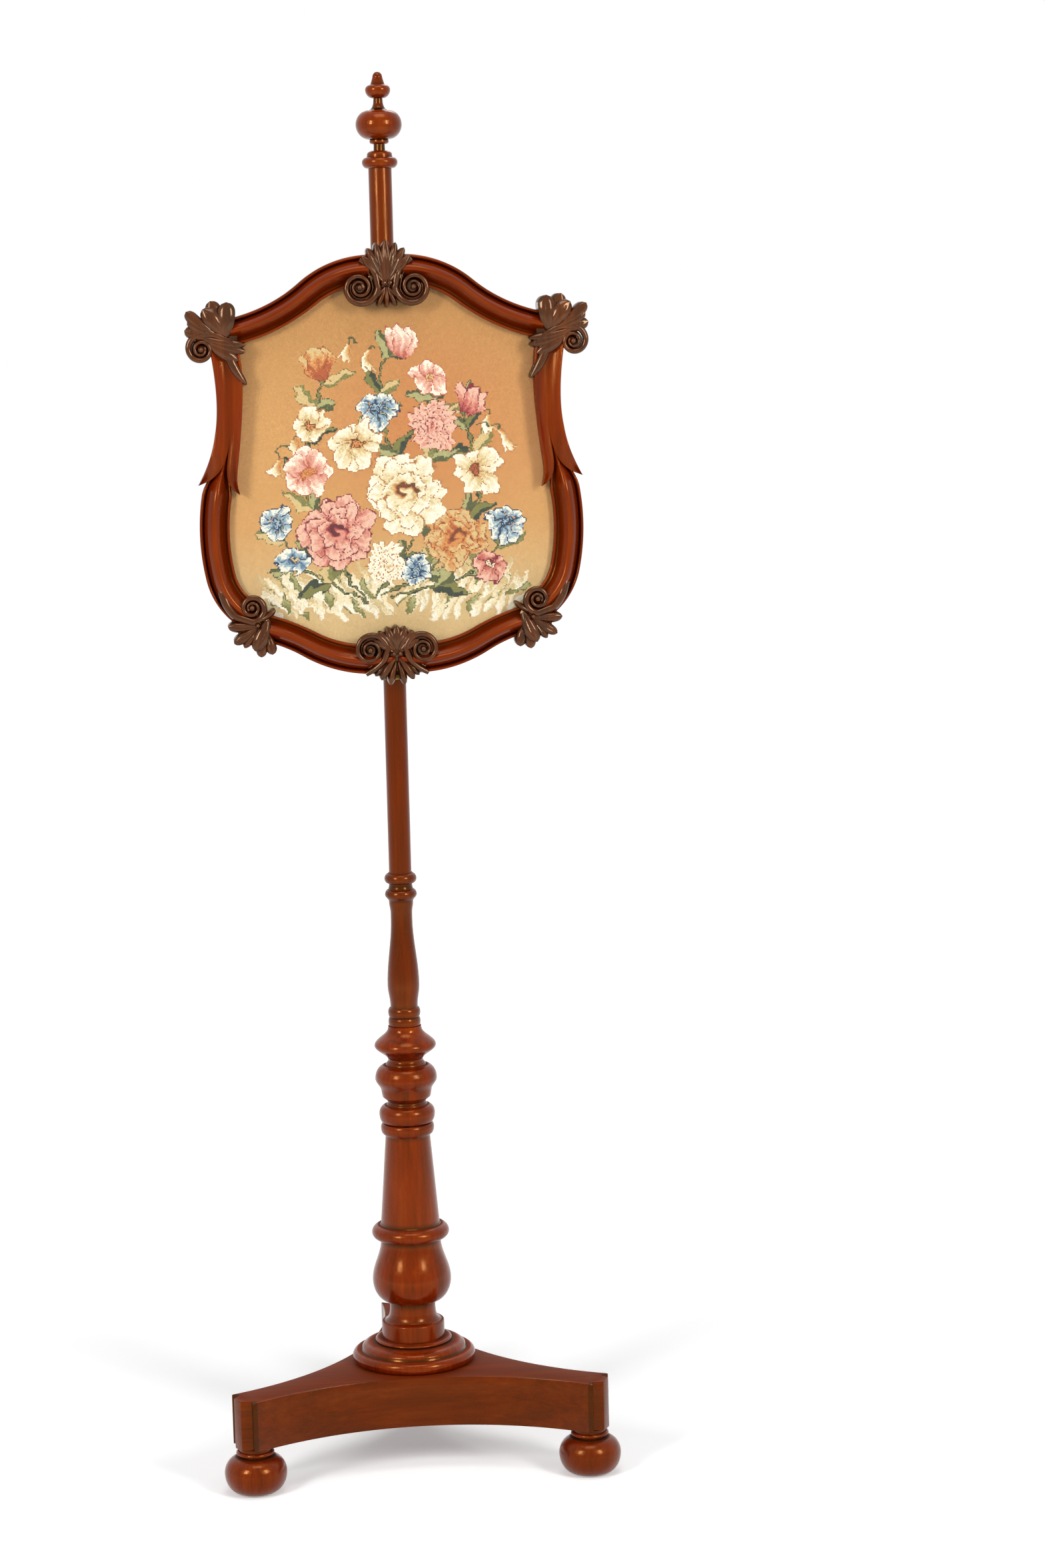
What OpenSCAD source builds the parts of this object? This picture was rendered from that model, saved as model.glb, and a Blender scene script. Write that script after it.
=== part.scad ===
// Pole screen: a shield-shaped framed needlework that slides and turns on a turned pole.
// Millimetres, +Z up. The origin is on the pole's axis at floor level, and the screen faces -Y.

/* [Stand] */
// Height of a bun foot
foot_h = 50; // [40:1:70]
// Widest diameter of a bun foot
foot_d = 67; // [55:1:80]
// Distance from a platform tip back to the centre of its foot
foot_inset = 20.4; // [18:0.1:26]
// Diameter of a foot's dowel
foot_dowel_d = 18; // [12:1:22]
// Length of a foot's dowel in the platform
foot_dowel_len = 30; // [20:1:40]
// Thickness of the platform
platform_t = 55; // [45:1:70]
// Distance from the axis to the end of a platform tip
tip_r = 229; // [200:1:260]
// Width of the canted end of a tip
tip_end_w = 14; // [10:1:20]
// Length of the flat face beside a tip's end
tip_face = 15.5; // [10:0.5:20]
// Step from that face out to the hollow side
tip_step = 7; // [3:0.5:10]
// Distance from the axis to the middle of a hollow side
waist_r = 72; // [70:1:90]
// Height of the turned base ring
base_ring_h = 24; // [18:1:34]
// Height of the turned column above the base ring
column_h = 351; // [300:1:420]
// Diameter of the column's tenon
tenon_d = 28; // [22:1:36]
// Height of the turned stem above the column
stem_h = 169; // [140:1:220]
// Diameter of the stem's tenon in the column
stem_tenon_d = 18; // [14:1:22]
// Length of the stem's tenon
stem_tenon_len = 60; // [40:1:90]

/* [Pole] */
// Diameter of the pole
pole_d = 24.5; // [22:0.1:25]
// Length of the pole between stem and finial
pole_len = 751; // [700:1:850]
// Diameter of the pole's tenon in the stem
pole_tenon_d = 15; // [10:0.5:17]
// Length of the pole's tenon
pole_tenon_len = 45; // [30:1:70]
// Height of the finial
finial_h = 100; // [80:1:130]
// Diameter of the finial's dowel
finial_dowel_d = 10; // [6:0.5:11]
// Length of the finial's dowel
finial_dowel_len = 34; // [30:1:50]

/* [Hanging] */
// Height of the middle of the screen above the floor
screen_z = 1090; // [1000:1:1110]
// Wall of a leather bush
bush_wall = 1.6; // [1:0.1:3]
// Wall of a bracket's ring
ring_wall = 3; // [2:0.1:4]
// Height of a bracket's ring
ring_h = 12; // [9:0.5:16]
// Free length of the arm between ring and plate
arm_len = 4; // [3:0.5:8]
// Thickness of a bracket's plate
plate_t = 3; // [2:0.1:4]
// Width of a bracket's plate
plate_w = 24; // [20:1:30]
// Height of a bracket's plate
plate_h = 28; // [26:1:32]
// Diameter of a bracket screw's shank
bracket_screw_d = 3; // [2:0.1:4]
// Length of a bracket screw in the wood
bracket_screw_len = 11; // [6:1:14]
// Diameter of the thumb screw's shank
thumb_d = 6; // [4:0.5:7]
// Width across the thumb screw's wing
thumb_wing = 20; // [14:1:24]

/* [Screen] */
// Width of a moulded rail
rail_w = 28.5; // [26:0.5:31]
// Width of a lower stile
stile_w = 31.5; // [29:0.5:33]
// Depth of the frame from back to front
frame_t = 26; // [22:0.5:30]
// Depth of the trough in an upper side leaf
trough = 5; // [2:0.5:7]
// Lap of the panel behind the sight edge
rebate_lap = 7; // [5:0.5:9]
// Thickness of the glass
glass_t = 2; // [1.5:0.1:3]
// Thickness of the worked canvas
canvas_t = 1; // [0.6:0.1:1.5]
// Thickness of the strainer board behind the canvas
strainer_t = 7; // [5:0.5:10]
// Thickness of the back board
back_board_t = 3; // [2:0.1:4]
// Lap of the back board behind the sight edge
back_lap = 12; // [10:0.5:13]
// Diameter of a back board screw's shank
board_screw_d = 2; // [1.4:0.1:2.4]
// Length of a back board screw in the frame
board_screw_len = 7; // [5:0.5:9]

/* [Carving] */
// Radius of the volutes
volute_r = 13; // [11:0.5:14]
// Height of the carving above the frame's crown
relief = 7; // [4:0.5:10]

/* [Hidden] */
$fn = 96;

mahogany = "#7a3517";
carved = "#4f2813";
brass = "#b08d3c";
leather = "#5b3b25";
deal = "#a9804f";
linen = "#b98a4e";

// Running clearances, on the radius
slide_gap = 0.05;
swivel_gap = 0.05;
joint_gap = 0.02;
rest_gap = 0.1;

// Heights of the stacked pieces
z_ring = foot_h + platform_t;
z_column = z_ring + base_ring_h;
z_stem = z_column + column_h;
z_pole = z_stem + stem_h;
z_finial = z_pole + pole_len;

// Radii around the pole
pole_r = pole_d / 2;
bush_r = pole_r + slide_gap + bush_wall;
bore_r = bush_r + swivel_gap;
ring_r = bore_r + ring_wall;
frame_back = ring_r + arm_len + plate_t;
bush_flange = 1.5;
foot_r = tip_r - foot_inset;

// Turned profiles: [height, radius, shape of the run up to the next step].
// line = straight, wave = smooth at both ends, round = leaves upright and ends level, cup = the reverse.
foot_steps = [[0, 17, "cup"], [22, foot_d / 2, "round"], [40, 17.5, "line"], [41.5, 17.5, "cup"],
    [44, 20.5, "round"], [46.5, 17.5, "line"], [50, 17.5, "line"]];
base_ring_steps = [[0, 63, "cup"], [6.5, 67.5, "round"], [13, 61, "line"], [13.2, 58, "line"],
    [15, 57, "round"], [24, 40, "line"]];
column_steps = [[0, 34.3, "line"], [20, 34.3, "round"], [27, 25.5, "wave"], [40, 25, "cup"],
    [68, 43.2, "wave"], [107.5, 32.8, "line"], [110, 32.8, "cup"], [121, 42.5, "round"],
    [134, 32.4, "line"], [135, 31.9, "line"], [229, 24.5, "line"], [230.5, 25.4, "cup"],
    [238, 29.3, "round"], [243.5, 25.8, "cup"], [254, 30.6, "round"], [263.5, 22.5, "wave"],
    [267, 20.8, "wave"], [273.5, 26.6, "line"], [279, 27.6, "wave"], [293, 33.9, "round"],
    [308, 22, "wave"], [313.5, 19.2, "wave"], [329.5, 33.8, "wave"], [348.5, 18.5, "line"],
    [351, 18, "line"]];
stem_steps = [[0, 16.4, "cup"], [4.5, 17.7, "round"], [9.5, 15.9, "line"], [10, 15.9, "cup"],
    [15, 17.7, "round"], [20.5, 15, "line"], [22.5, 15, "wave"], [45, 17.5, "wave"],
    [118, 11.8, "line"], [124, 11.8, "wave"], [137, 13.2, "wave"], [144.8, 17.4, "round"],
    [150.5, 13.5, "wave"], [155, 12.7, "line"], [157, 12.8, "cup"], [162.3, 17.5, "round"],
    [168, 13.2, "line"], [169, 13.1, "line"]];
finial_steps = [[0, 13, "cup"], [6.5, 18.8, "round"], [11.5, 13.6, "line"], [14.5, 13.2, "round"],
    [18.5, 6.1, "line"], [25, 5.9, "cup"], [27.5, 10.1, "round"], [30, 9.6, "cup"],
    [45.5, 24.3, "round"], [60, 11.4, "cup"], [70, 5, "line"], [72.5, 4.7, "cup"],
    [81.5, 13.2, "round"], [86.5, 7.6, "line"], [94, 5.3, "round"], [100, 0.4, "line"]];
turn_points = 8;

// Frame lines of the right half, on the screen's own plane with its middle at [0, 0].
// Each line starts at a place with a heading, and each bend is [radius, signed angle].
top_start = [[18, 204], 0];
top_bends = [[101, -39], [190, 26]];
side_start = [[170, 116], -101];
side_bends = [[240, 32]];
stile_apex = [187.5, -67];
stile_r = 220;
stile_up = 16;
stile_start = [stile_apex + stile_r * [cos(stile_up) - 1, sin(stile_up)], stile_up - 90];
stile_bends = [[stile_r, -stile_up - 12], [65, -38]];
bottom_start = [[18, -204.6], -3];
bottom_bends = [[132, 33], [200, -14]];

// Places of the carvings on the screen's plane, with the radius of the seat each one has in the frame
crest_at = [0, 196];
crest_seat = 26;
crest_volute = [27, 185.6];
apron_at = [0, -198];
apron_seat = 26;
apron_volute = [27, -193.3];
ear_at = [177, 139];
ear_seat = 21;
ear_volute = [195.2, 125.4];
knee_at = [154, -166];
knee_seat = 22;
knee_volute = [151, -146];
crest_volutes = [crest_volute - crest_at, [-crest_volute[0], crest_volute[1]] - crest_at];
apron_volutes = [apron_volute - apron_at, [-apron_volute[0], apron_volute[1]] - apron_at];
ear_volutes = [ear_volute - ear_at];
knee_volutes = [knee_volute - knee_at];
// The rings sit behind the crest and the apron, this far outward of their middles
ring_out = 17;
upper_ring_z = screen_z + crest_at[1] + ring_out;
lower_ring_z = screen_z + apron_at[1] - ring_out;
board_screw_bends = [[0, 0, 0.35], [0, 1, 0.45], [1, 0, 0.75], [1, 1, 0.35], [2, 0, 0.75]];

function left_of(h) = [-sin(h), cos(h)];
function bend_centre(pose, bend) = pose[0] + sign(bend[1]) * bend[0] * left_of(pose[1]);
function after(pose, bend) =
    let (h = pose[1] + bend[1])
    [bend_centre(pose, bend) - sign(bend[1]) * bend[0] * left_of(h), h];
function pose_at(pose, bends, i) = i == 0 ? pose : after(pose_at(pose, bends, i - 1), bends[i - 1]);
function along(pose, bends, i, t) = after(pose_at(pose, bends, i), [bends[i][0], bends[i][1] * t]);
function shifted(pose, d) = pose[0] + d * left_of(pose[1]);

// Points along a line, shifted to the left of its heading
function line_points(pose, bends, d, n = 10) =
    [for (i = [0:len(bends) - 1], k = [0:n]) if (k > 0 || i == 0) shifted(along(pose, bends, i, k / n), d)];
function backwards(p) = [for (i = [len(p) - 1:-1:0]) p[i]];
function mirrored(p) = [for (q = p) [-q[0], q[1]]];

// One edge of the panel behind the frame: lap is how far it reaches past the sight edge.
// The side's line ends above the place where the stile's line starts.
function half_outline(lap) = let (stile = line_points(stile_start, stile_bends, lap - stile_w / 2)) concat(
    line_points(top_start, top_bends, lap - rail_w / 2),
    [for (p = line_points(side_start, side_bends, lap - rail_w / 2)) if (p[1] > stile[0][1] + panel_gap) p],
    stile,
    backwards(line_points(bottom_start, bottom_bends, rail_w / 2 - lap)));
function outline(lap) = concat(half_outline(lap), backwards(mirrored(half_outline(lap))));

// Runs of a turned profile
function run(a, b, t) = let (dz = b[0] - a[0], dr = b[1] - a[1])
    a[2] == "wave" ? [a[1] + dr * (1 - cos(180 * t)) / 2, a[0] + dz * t] :
    a[2] == "round" ? [a[1] + dr * (1 - cos(90 * t)), a[0] + dz * sin(90 * t)] :
    a[2] == "cup" ? [a[1] + dr * sin(90 * t), a[0] + dz * (1 - cos(90 * t))] :
    [a[1] + dr * t, a[0] + dz * t];
function turned_points(steps, h) = let (top = len(steps) - 1, k = h / steps[top][0])
    [for (i = [0:top - 1], n = steps[i][2] == "line" ? 1 : turn_points, j = [0:n - 1])
        let (p = run(steps[i], steps[i + 1], j / n)) [p[0], p[1] * k]];

// A turned solid of height h that follows the steps
module turned(steps, h) {
    last = steps[len(steps) - 1];
    rotate_extrude() polygon(concat([[0, 0]], turned_points(steps, h), [[last[1], h], [0, h]]));
}

// Puts the screen's plane upright: its X stays, its Y goes up, its Z points to the viewer
module upright() translate([0, 0, screen_z]) rotate([90, 0, 0]) children();

module on_side(side) mirror([side == "left" ? 1 : 0, 0, 0]) children();

module foot(angle) {
    color(mahogany) rotate(angle) translate([foot_r, 0, 0]) {
        turned(foot_steps, foot_h);
        translate([0, 0, foot_h - 1]) cylinder(h = foot_dowel_len + 1, d = foot_dowel_d);
    }
}

// Corner of a tip's face, where the hollow side starts, in the tip's own frame
tip_corner = [tip_r - cos(30) * tip_face, tip_end_w / 2 + sin(30) * tip_face];
side_corner = tip_corner + tip_step * [sin(30), cos(30)];
chord_r = side_corner[0] * sin(30) + side_corner[1] * cos(30);
half_chord = side_corner[0] * cos(30) - side_corner[1] * sin(30);
hollow = chord_r - waist_r;
hollow_r = (half_chord * half_chord + hollow * hollow) / (2 * hollow);

module platform_outline() {
    past = side_corner + 3 * [sin(30), cos(30)];
    tip = [[past[0], -past[1]], [tip_corner[0], -tip_corner[1]], [tip_r, -tip_end_w / 2],
        [tip_r, tip_end_w / 2], tip_corner, past];
    difference() {
        polygon([for (a = [90:120:330], p = tip)
            [p[0] * cos(a) - p[1] * sin(a), p[0] * sin(a) + p[1] * cos(a)]]);
        for (a = [150:120:390]) rotate(a) translate([waist_r + hollow_r, 0]) circle(r = hollow_r, $fn = 360);
    }
}

module platform() {
    color(mahogany) difference() {
        translate([0, 0, foot_h]) linear_extrude(platform_t) platform_outline();
        translate([0, 0, foot_h - 1]) cylinder(h = platform_t + 2, d = tenon_d + 2 * joint_gap);
        for (a = [90:120:330]) rotate(a) translate([foot_r, 0, foot_h - 1])
            cylinder(h = foot_dowel_len + 1.5, d = foot_dowel_d + 2 * joint_gap);
    }
}

module base_ring() {
    color(mahogany) translate([0, 0, z_ring]) difference() {
        turned(base_ring_steps, base_ring_h);
        translate([0, 0, -1]) cylinder(h = base_ring_h + 2, d = tenon_d + 2 * joint_gap);
    }
}

wedge_h = 26;
wedge_t = 5;
wedge_tip_t = 1.5;

module wedge_form() {
    translate([-tenon_d / 2 + 2, 0, foot_h]) rotate([90, 0, 90]) linear_extrude(tenon_d - 4)
        polygon([[-wedge_t / 2, 0], [wedge_t / 2, 0],
            [wedge_tip_t / 2, wedge_h], [-wedge_tip_t / 2, wedge_h]]);
}

module column() {
    color(mahogany) difference() {
        union() {
            translate([0, 0, z_column]) turned(column_steps, column_h);
            translate([0, 0, foot_h]) cylinder(h = z_column - foot_h + 1, d = tenon_d);
        }
        translate([0, 0, z_stem - stem_tenon_len - 1])
            cylinder(h = stem_tenon_len + 2, d = stem_tenon_d + 2 * joint_gap);
        wedge_form();
    }
}

module tenon_wedge() color(deal) wedge_form();

module stem() {
    color(mahogany) difference() {
        union() {
            translate([0, 0, z_stem]) turned(stem_steps, stem_h);
            translate([0, 0, z_stem - stem_tenon_len]) cylinder(h = stem_tenon_len + 1, d = stem_tenon_d);
        }
        translate([0, 0, z_pole - pole_tenon_len - 1])
            cylinder(h = pole_tenon_len + 2, d = pole_tenon_d + 2 * joint_gap);
    }
}

module pole() {
    color(mahogany) difference() {
        union() {
            translate([0, 0, z_pole]) cylinder(h = pole_len, d = pole_d);
            translate([0, 0, z_pole - pole_tenon_len]) cylinder(h = pole_tenon_len + 1, d = pole_tenon_d);
        }
        translate([0, 0, z_finial - finial_dowel_len - 1])
            cylinder(h = finial_dowel_len + 2, d = finial_dowel_d + 2 * slide_gap);
    }
}

module finial() {
    color(mahogany) translate([0, 0, z_finial]) {
        turned(finial_steps, finial_h);
        translate([0, 0, -finial_dowel_len]) cylinder(h = finial_dowel_len + 1, d = finial_dowel_d);
    }
}

// A leather bush whose flange carries the ring above it
module bush(ring_z) {
    color(leather) translate([0, 0, ring_z - ring_h / 2 - rest_gap - bush_flange]) difference() {
        union() {
            cylinder(h = bush_flange, r = ring_r);
            cylinder(h = ring_h + rest_gap + bush_flange, r = bush_r);
        }
        translate([0, 0, -1]) cylinder(h = ring_h + bush_flange + 3, r = pole_r + slide_gap);
    }
}

module bush_upper() bush(upper_ring_z);
module bush_lower() bush(lower_ring_z);

boss_r = thumb_d / 2 + 2.2;
boss_len = 6;
bracket_screw_rise = plate_h / 2 - 5;
bracket_head_d = 2 * bracket_screw_d;
bracket_head_t = 1.4;

// Ring, arm and plate of a bracket in one casting
module bracket(ring_z) {
    translate([-plate_w / 2, -frame_back, ring_z - plate_h / 2]) cube([plate_w, plate_t, plate_h]);
    translate([-ring_h / 2, -frame_back + plate_t, ring_z - ring_h / 2])
        cube([ring_h, arm_len + ring_wall / 2, ring_h]);
    translate([0, 0, ring_z - ring_h / 2]) cylinder(h = ring_h, r = ring_r);
}

module bracket_holes(ring_z) {
    translate([0, 0, ring_z - ring_h]) cylinder(h = 2 * ring_h, r = bore_r);
    for (s = [-1, 1]) translate([0, -frame_back - 1, ring_z + s * bracket_screw_rise]) rotate([-90, 0, 0])
        cylinder(h = plate_t + 2, d = bracket_screw_d + 2 * joint_gap);
}

module bracket_upper() {
    color(brass) difference() {
        bracket(upper_ring_z);
        bracket_holes(upper_ring_z);
    }
}

module bracket_lower() {
    color(brass) difference() {
        union() {
            bracket(lower_ring_z);
            translate([0, bore_r, lower_ring_z]) rotate([-90, 0, 0])
                cylinder(h = ring_wall + boss_len, r = boss_r);
        }
        bracket_holes(lower_ring_z);
        translate([0, bore_r - 2, lower_ring_z]) rotate([-90, 0, 0])
            cylinder(h = ring_wall + boss_len + 4, d = thumb_d + 2 * slide_gap);
    }
}

module bracket_screws() {
    color(brass) for (z = [upper_ring_z, lower_ring_z], s = [-1, 1])
        translate([0, 0, z + s * bracket_screw_rise]) rotate([90, 0, 0]) {
            translate([0, 0, frame_back - plate_t - bracket_head_t])
                cylinder(h = bracket_head_t, d = bracket_head_d);
            translate([0, 0, frame_back - plate_t - 0.5])
                cylinder(h = plate_t + bracket_screw_len + 0.5, d = bracket_screw_d);
        }
}

module bracket_screw_holes() {
    for (z = [upper_ring_z, lower_ring_z], s = [-1, 1]) translate([0, 0, z + s * bracket_screw_rise])
        rotate([90, 0, 0]) translate([0, 0, frame_back - 1])
            cylinder(h = bracket_screw_len + 1.5, d = bracket_screw_d + 2 * joint_gap);
}

thumb_gap = 0.3;
thumb_neck = 3;
thumb_collar_t = 2;
thumb_wing_t = 3;

module thumb_screw() {
    start = bush_r + thumb_gap;
    collar = bore_r + ring_wall + boss_len + thumb_gap;
    wing = collar + thumb_collar_t + thumb_neck + thumb_wing / 2;
    color(brass) translate([0, 0, lower_ring_z]) {
        rotate([-90, 0, 0]) {
            translate([0, 0, start]) cylinder(h = wing - start, d = thumb_d);
            translate([0, 0, collar]) cylinder(h = thumb_collar_t, r = boss_r);
        }
        translate([-thumb_wing_t / 2, wing, 0]) rotate([0, 90, 0])
            cylinder(h = thumb_wing_t, d = thumb_wing);
    }
}

// Section of the frame's moulding.
// u runs from the outer edge to the sight edge, v from the back to the crown.
edge_v = 15;
bead_w = 3.4;
bead_v = 2.4;
crown_at = 0.46;
sight_v = 13;

function moulding_front(w) = let (crown = crown_at * w) concat(
    [for (k = [0:5]) [bead_w * (1 - cos(36 * k)) / 2, edge_v + bead_v * sin(36 * k)]],
    [for (k = [0:6]) let (t = k / 6) [bead_w + 0.8 + (crown - bead_w - 0.8) * t,
        edge_v - 0.5 + (frame_t - edge_v + 0.5) * sin(90 * t)]],
    [for (k = [1:7]) let (t = k / 7) [crown + (w - bead_w - crown) * t,
        sight_v + (frame_t - sight_v) * (1 + cos(180 * t)) / 2]],
    [for (k = [1:5]) [w - bead_w * (1 + cos(36 * k)) / 2, sight_v + bead_v * sin(36 * k)]]);

// Bend i of a moulding of width w along a line.
// outer is 1 where its outer edge is on the left of the heading, else -1.
module moulding(start, bends, i, w, outer) {
    section = concat([[0, 0]], moulding_front(w), [[w, 0]]);
    pose = pose_at(start, bends, i);
    turn = sign(bends[i][1]);
    first = pose[1] - turn * 90 + min(0, bends[i][1]);
    translate(concat(bend_centre(pose, bends[i]), [frame_back])) rotate(first)
        rotate_extrude(angle = abs(bends[i][1]), $fn = 360)
            polygon([for (q = turn * outer > 0 ? backwards(section) : section)
                [bends[i][0] - turn * outer * (w / 2 - q[0]), q[1]]]);
}

// Space of the glass, canvas and strainer behind the sight edge
panel_gap = 0.3;
rebate_t = glass_t + canvas_t + strainer_t;

module panel_space() {
    translate([0, 0, frame_back - 1]) linear_extrude(rebate_t + 1) polygon(outline(rebate_lap + panel_gap));
}

// Where the back board's screws go: [line, bend, share of the bend]
function board_screw_at(s) = let (
    starts = [top_start, stile_start, bottom_start],
    lines = [top_bends, stile_bends, bottom_bends],
    widths = [rail_w, stile_w, rail_w],
    inward = (rebate_lap + back_lap) / 2 - widths[s[0]] / 2)
    shifted(along(starts[s[0]], lines[s[0]], s[1], s[2]), s[0] == 2 ? -inward : inward);

module at_board_screws() {
    for (s = board_screw_bends, m = [0, 1]) mirror([m, 0, 0]) translate(board_screw_at(s)) children();
}

module board_screw_holes(depth) {
    at_board_screws() translate([0, 0, frame_back - back_board_t - 1])
        cylinder(h = back_board_t + 1 + depth, d = board_screw_d + 2 * joint_gap);
}

// Cuts the panel's space and the screw holes out of a frame piece
module rebated() {
    difference() {
        children();
        panel_space();
        board_screw_holes(board_screw_len + 0.3);
    }
}

// Outline of an upper side leaf, which ends in two points
function curve(a, c, b, n = 8) = [for (k = [0:n - 1]) let (t = k / n)
    (1 - t) * (1 - t) * a + 2 * t * (1 - t) * c + t * t * b];
leaf_top_y = side_start[0][1] + 6;
leaf_points = concat(
    curve([185, leaf_top_y], [177, 70], [183.5, 37]), curve([183.5, 37], [187.5, 10], [203, -16]),
    curve([203, -16], [186, -10], [177.5, 0]), curve([177.5, 0], [177.5, -10], [172, -20]),
    curve([172, -20], [167, -28], [159.5, -26.5]), curve([159.5, -26.5], [163.5, -15], [161.5, -1]),
    curve([161.5, -1], [154, 52], [153.2, 88]), curve([153.2, 88], [152.8, 106], [156, leaf_top_y]),
    [[156, leaf_top_y]]);
leaf_t = frame_t - 2;
trough_r = 20;

module side_leaf_form() {
    pose = [side_start[0], side_start[1]];
    difference() {
        translate([0, 0, frame_back]) linear_extrude(leaf_t) polygon(leaf_points);
        translate(concat(bend_centre(pose, side_bends[0]), [frame_back + leaf_t + trough_r - trough]))
            rotate(pose[1] - 90 - 4) rotate_extrude(angle = side_bends[0][1] + 4, $fn = 360)
                translate([side_bends[0][0], 0]) circle(r = trough_r);
    }
}

module leaf_space() translate([0, 0, frame_back - 1]) linear_extrude(leaf_t + 2) polygon(leaf_points);

// Round space that a volute takes out of the pieces it meets
module seat_space(at, r) {
    translate(concat(at, [frame_back - 1])) cylinder(h = frame_t + relief + 2, r = r + joint_gap);
}

module crest_rail(side) {
    color(mahogany) upright() on_side(side) rebated() difference() {
        moulding(top_start, top_bends, 0, rail_w, 1);
        carving_space(crest_at, crest_leaves, crest_seat, crest_volutes);
        seat_space(crest_volute, volute_r);
    }
}

module shoulder_rail(side) {
    color(mahogany) upright() on_side(side) rebated() difference() {
        moulding(top_start, top_bends, 1, rail_w, 1);
        carving_space(ear_at, ear_leaves, ear_seat, ear_volutes);
    }
}

module side_leaf(side) {
    color(mahogany) upright() on_side(side) rebated() difference() {
        side_leaf_form();
        carving_space(ear_at, ear_leaves, ear_seat, ear_volutes);
        seat_space(ear_volute, volute_r);
    }
}

module stile(side) {
    color(mahogany) upright() on_side(side) rebated() difference() {
        moulding(stile_start, stile_bends, 0, stile_w, 1);
        leaf_space();
    }
}

module stile_foot(side) {
    color(mahogany) upright() on_side(side) rebated() difference() {
        moulding(stile_start, stile_bends, 1, stile_w, 1);
        carving_space(knee_at, knee_leaves, knee_seat, knee_volutes);
        seat_space(knee_volute, volute_r);
    }
}

module apron_rail(side) {
    color(mahogany) upright() on_side(side) rebated() difference() {
        moulding(bottom_start, bottom_bends, 0, rail_w, -1);
        carving_space(apron_at, apron_leaves, apron_seat, apron_volutes);
        seat_space(apron_volute, volute_r);
    }
}

module knee_rail(side) {
    color(mahogany) upright() on_side(side) rebated() difference() {
        moulding(bottom_start, bottom_bends, 1, rail_w, -1);
        carving_space(knee_at, knee_leaves, knee_seat, knee_volutes);
    }
}

// Leaves of a carving: [direction, reach, half width in degrees]
crest_leaves = [[90, 38, 9], [74, 37, 8], [106, 37, 8], [60, 34, 8], [120, 34, 8], [46, 31, 8],
    [134, 31, 8], [-90, 29, 11], [-70, 28, 10], [-110, 28, 10], [-50, 27, 10], [-130, 27, 10]];
apron_leaves = [[90, 29, 13], [66, 29, 12], [114, 29, 12], [42, 28, 12], [138, 28, 12], [-90, 34, 9],
    [-74, 35, 9], [-106, 35, 9], [-57, 31, 9], [-123, 31, 9]];
ear_leaves = [[106, 34, 13], [83, 37, 11], [60, 34, 13], [39, 40, 11], [12, 34, 15], [212, 27, 11]];
knee_leaves = [[-8, 24, 13], [-36, 24, 14], [-64, 26, 13], [-98, 27, 12], [-118, 32, 11],
    [-135, 32, 9], [146, 27, 8]];
leaf_steps = 60;
leaf_rings = 4;
edge_drop = 8;
leaf_hollow = 3;
volute_gap = 0.2;

function fold(a) = abs((a % 360 + 540) % 360 - 180);
function rise(a, leaf) = pow(max(0, cos(90 * min(1, fold(a - leaf[0]) / leaf[2]))), 0.6);
function leaf_reach(a, leaves, seat) = max([for (l = leaves) seat + (l[1] - seat) * rise(a, l)]);
// Distance in direction a to a volute whose middle is at v from the leafage's middle
function volute_reach(a, v) = let (d = norm(v), b = a - atan2(v[1], v[0]), r = volute_r + volute_gap)
    cos(b) > 0 && abs(d * sin(b)) < r ? d * cos(b) - sqrt(r * r - pow(d * sin(b), 2)) : 1000;
function reach(a, leaves, seat, volutes) =
    min(leaf_reach(a, leaves, seat), min([for (v = volutes) volute_reach(a, v)]));
function crest_of(a, leaves) = max([for (l = leaves) rise(a, l)]);

function leaf_outline(leaves, seat, volutes, grow) = [for (k = [0:leaf_steps - 1]) let (
    a = 360 * (k + 0.5) / leaf_steps, r = reach(a, leaves, seat, volutes) + grow) [r * cos(a), r * sin(a)]];

// Space that a carving takes out of the frame pieces it meets
module carving_space(at, leaves, seat, volutes) {
    translate(concat(at, [frame_back - 1]))
        linear_extrude(frame_t + relief + 2) polygon(leaf_outline(leaves, seat, volutes, joint_gap));
}

// A leafy relief that reaches from its middle out to the tips of its leaves
module leafage(at, leaves, seat, volutes) {
    top = frame_t + relief - 3;
    rim = frame_t - edge_drop;
    ring_points = [for (i = [1:leaf_rings], k = [0:leaf_steps - 1]) let (
        a = 360 * (k + 0.5) / leaf_steps, t = i / leaf_rings, r = t * reach(a, leaves, seat, volutes))
        [r * cos(a), r * sin(a),
            top + (rim - top) * t * t - leaf_hollow * sin(180 * t) * (1 - crest_of(a, leaves))]];
    foot_points = [for (p = leaf_outline(leaves, seat, volutes, 0)) [p[0], p[1], 0]];
    last = 1 + leaf_steps * (leaf_rings - 1);
    base = 1 + leaf_steps * leaf_rings;
    middle = base + leaf_steps;
    faces = [for (k = [0:leaf_steps - 1]) let (n = (k + 1) % leaf_steps) each concat(
        [[0, 1 + n, 1 + k]],
        [for (i = [0:leaf_rings - 2]) let (p = 1 + i * leaf_steps) each
            [[p + k, p + n, p + leaf_steps + k], [p + n, p + leaf_steps + n, p + leaf_steps + k]]],
        [[last + k, last + n, base + n], [last + k, base + n, base + k], [base + k, base + n, middle]])];
    translate(concat(at, [frame_back]))
        polyhedron(concat([[0, 0, top]], ring_points, foot_points, [[0, 0, 0]]), faces);
}

// A volute: a round boss with two rounded coils and an eye
coil_r = 2.5;
inner_coil_r = 1.8;
eye_r = 2;

coil_gap = 0.6;

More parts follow.
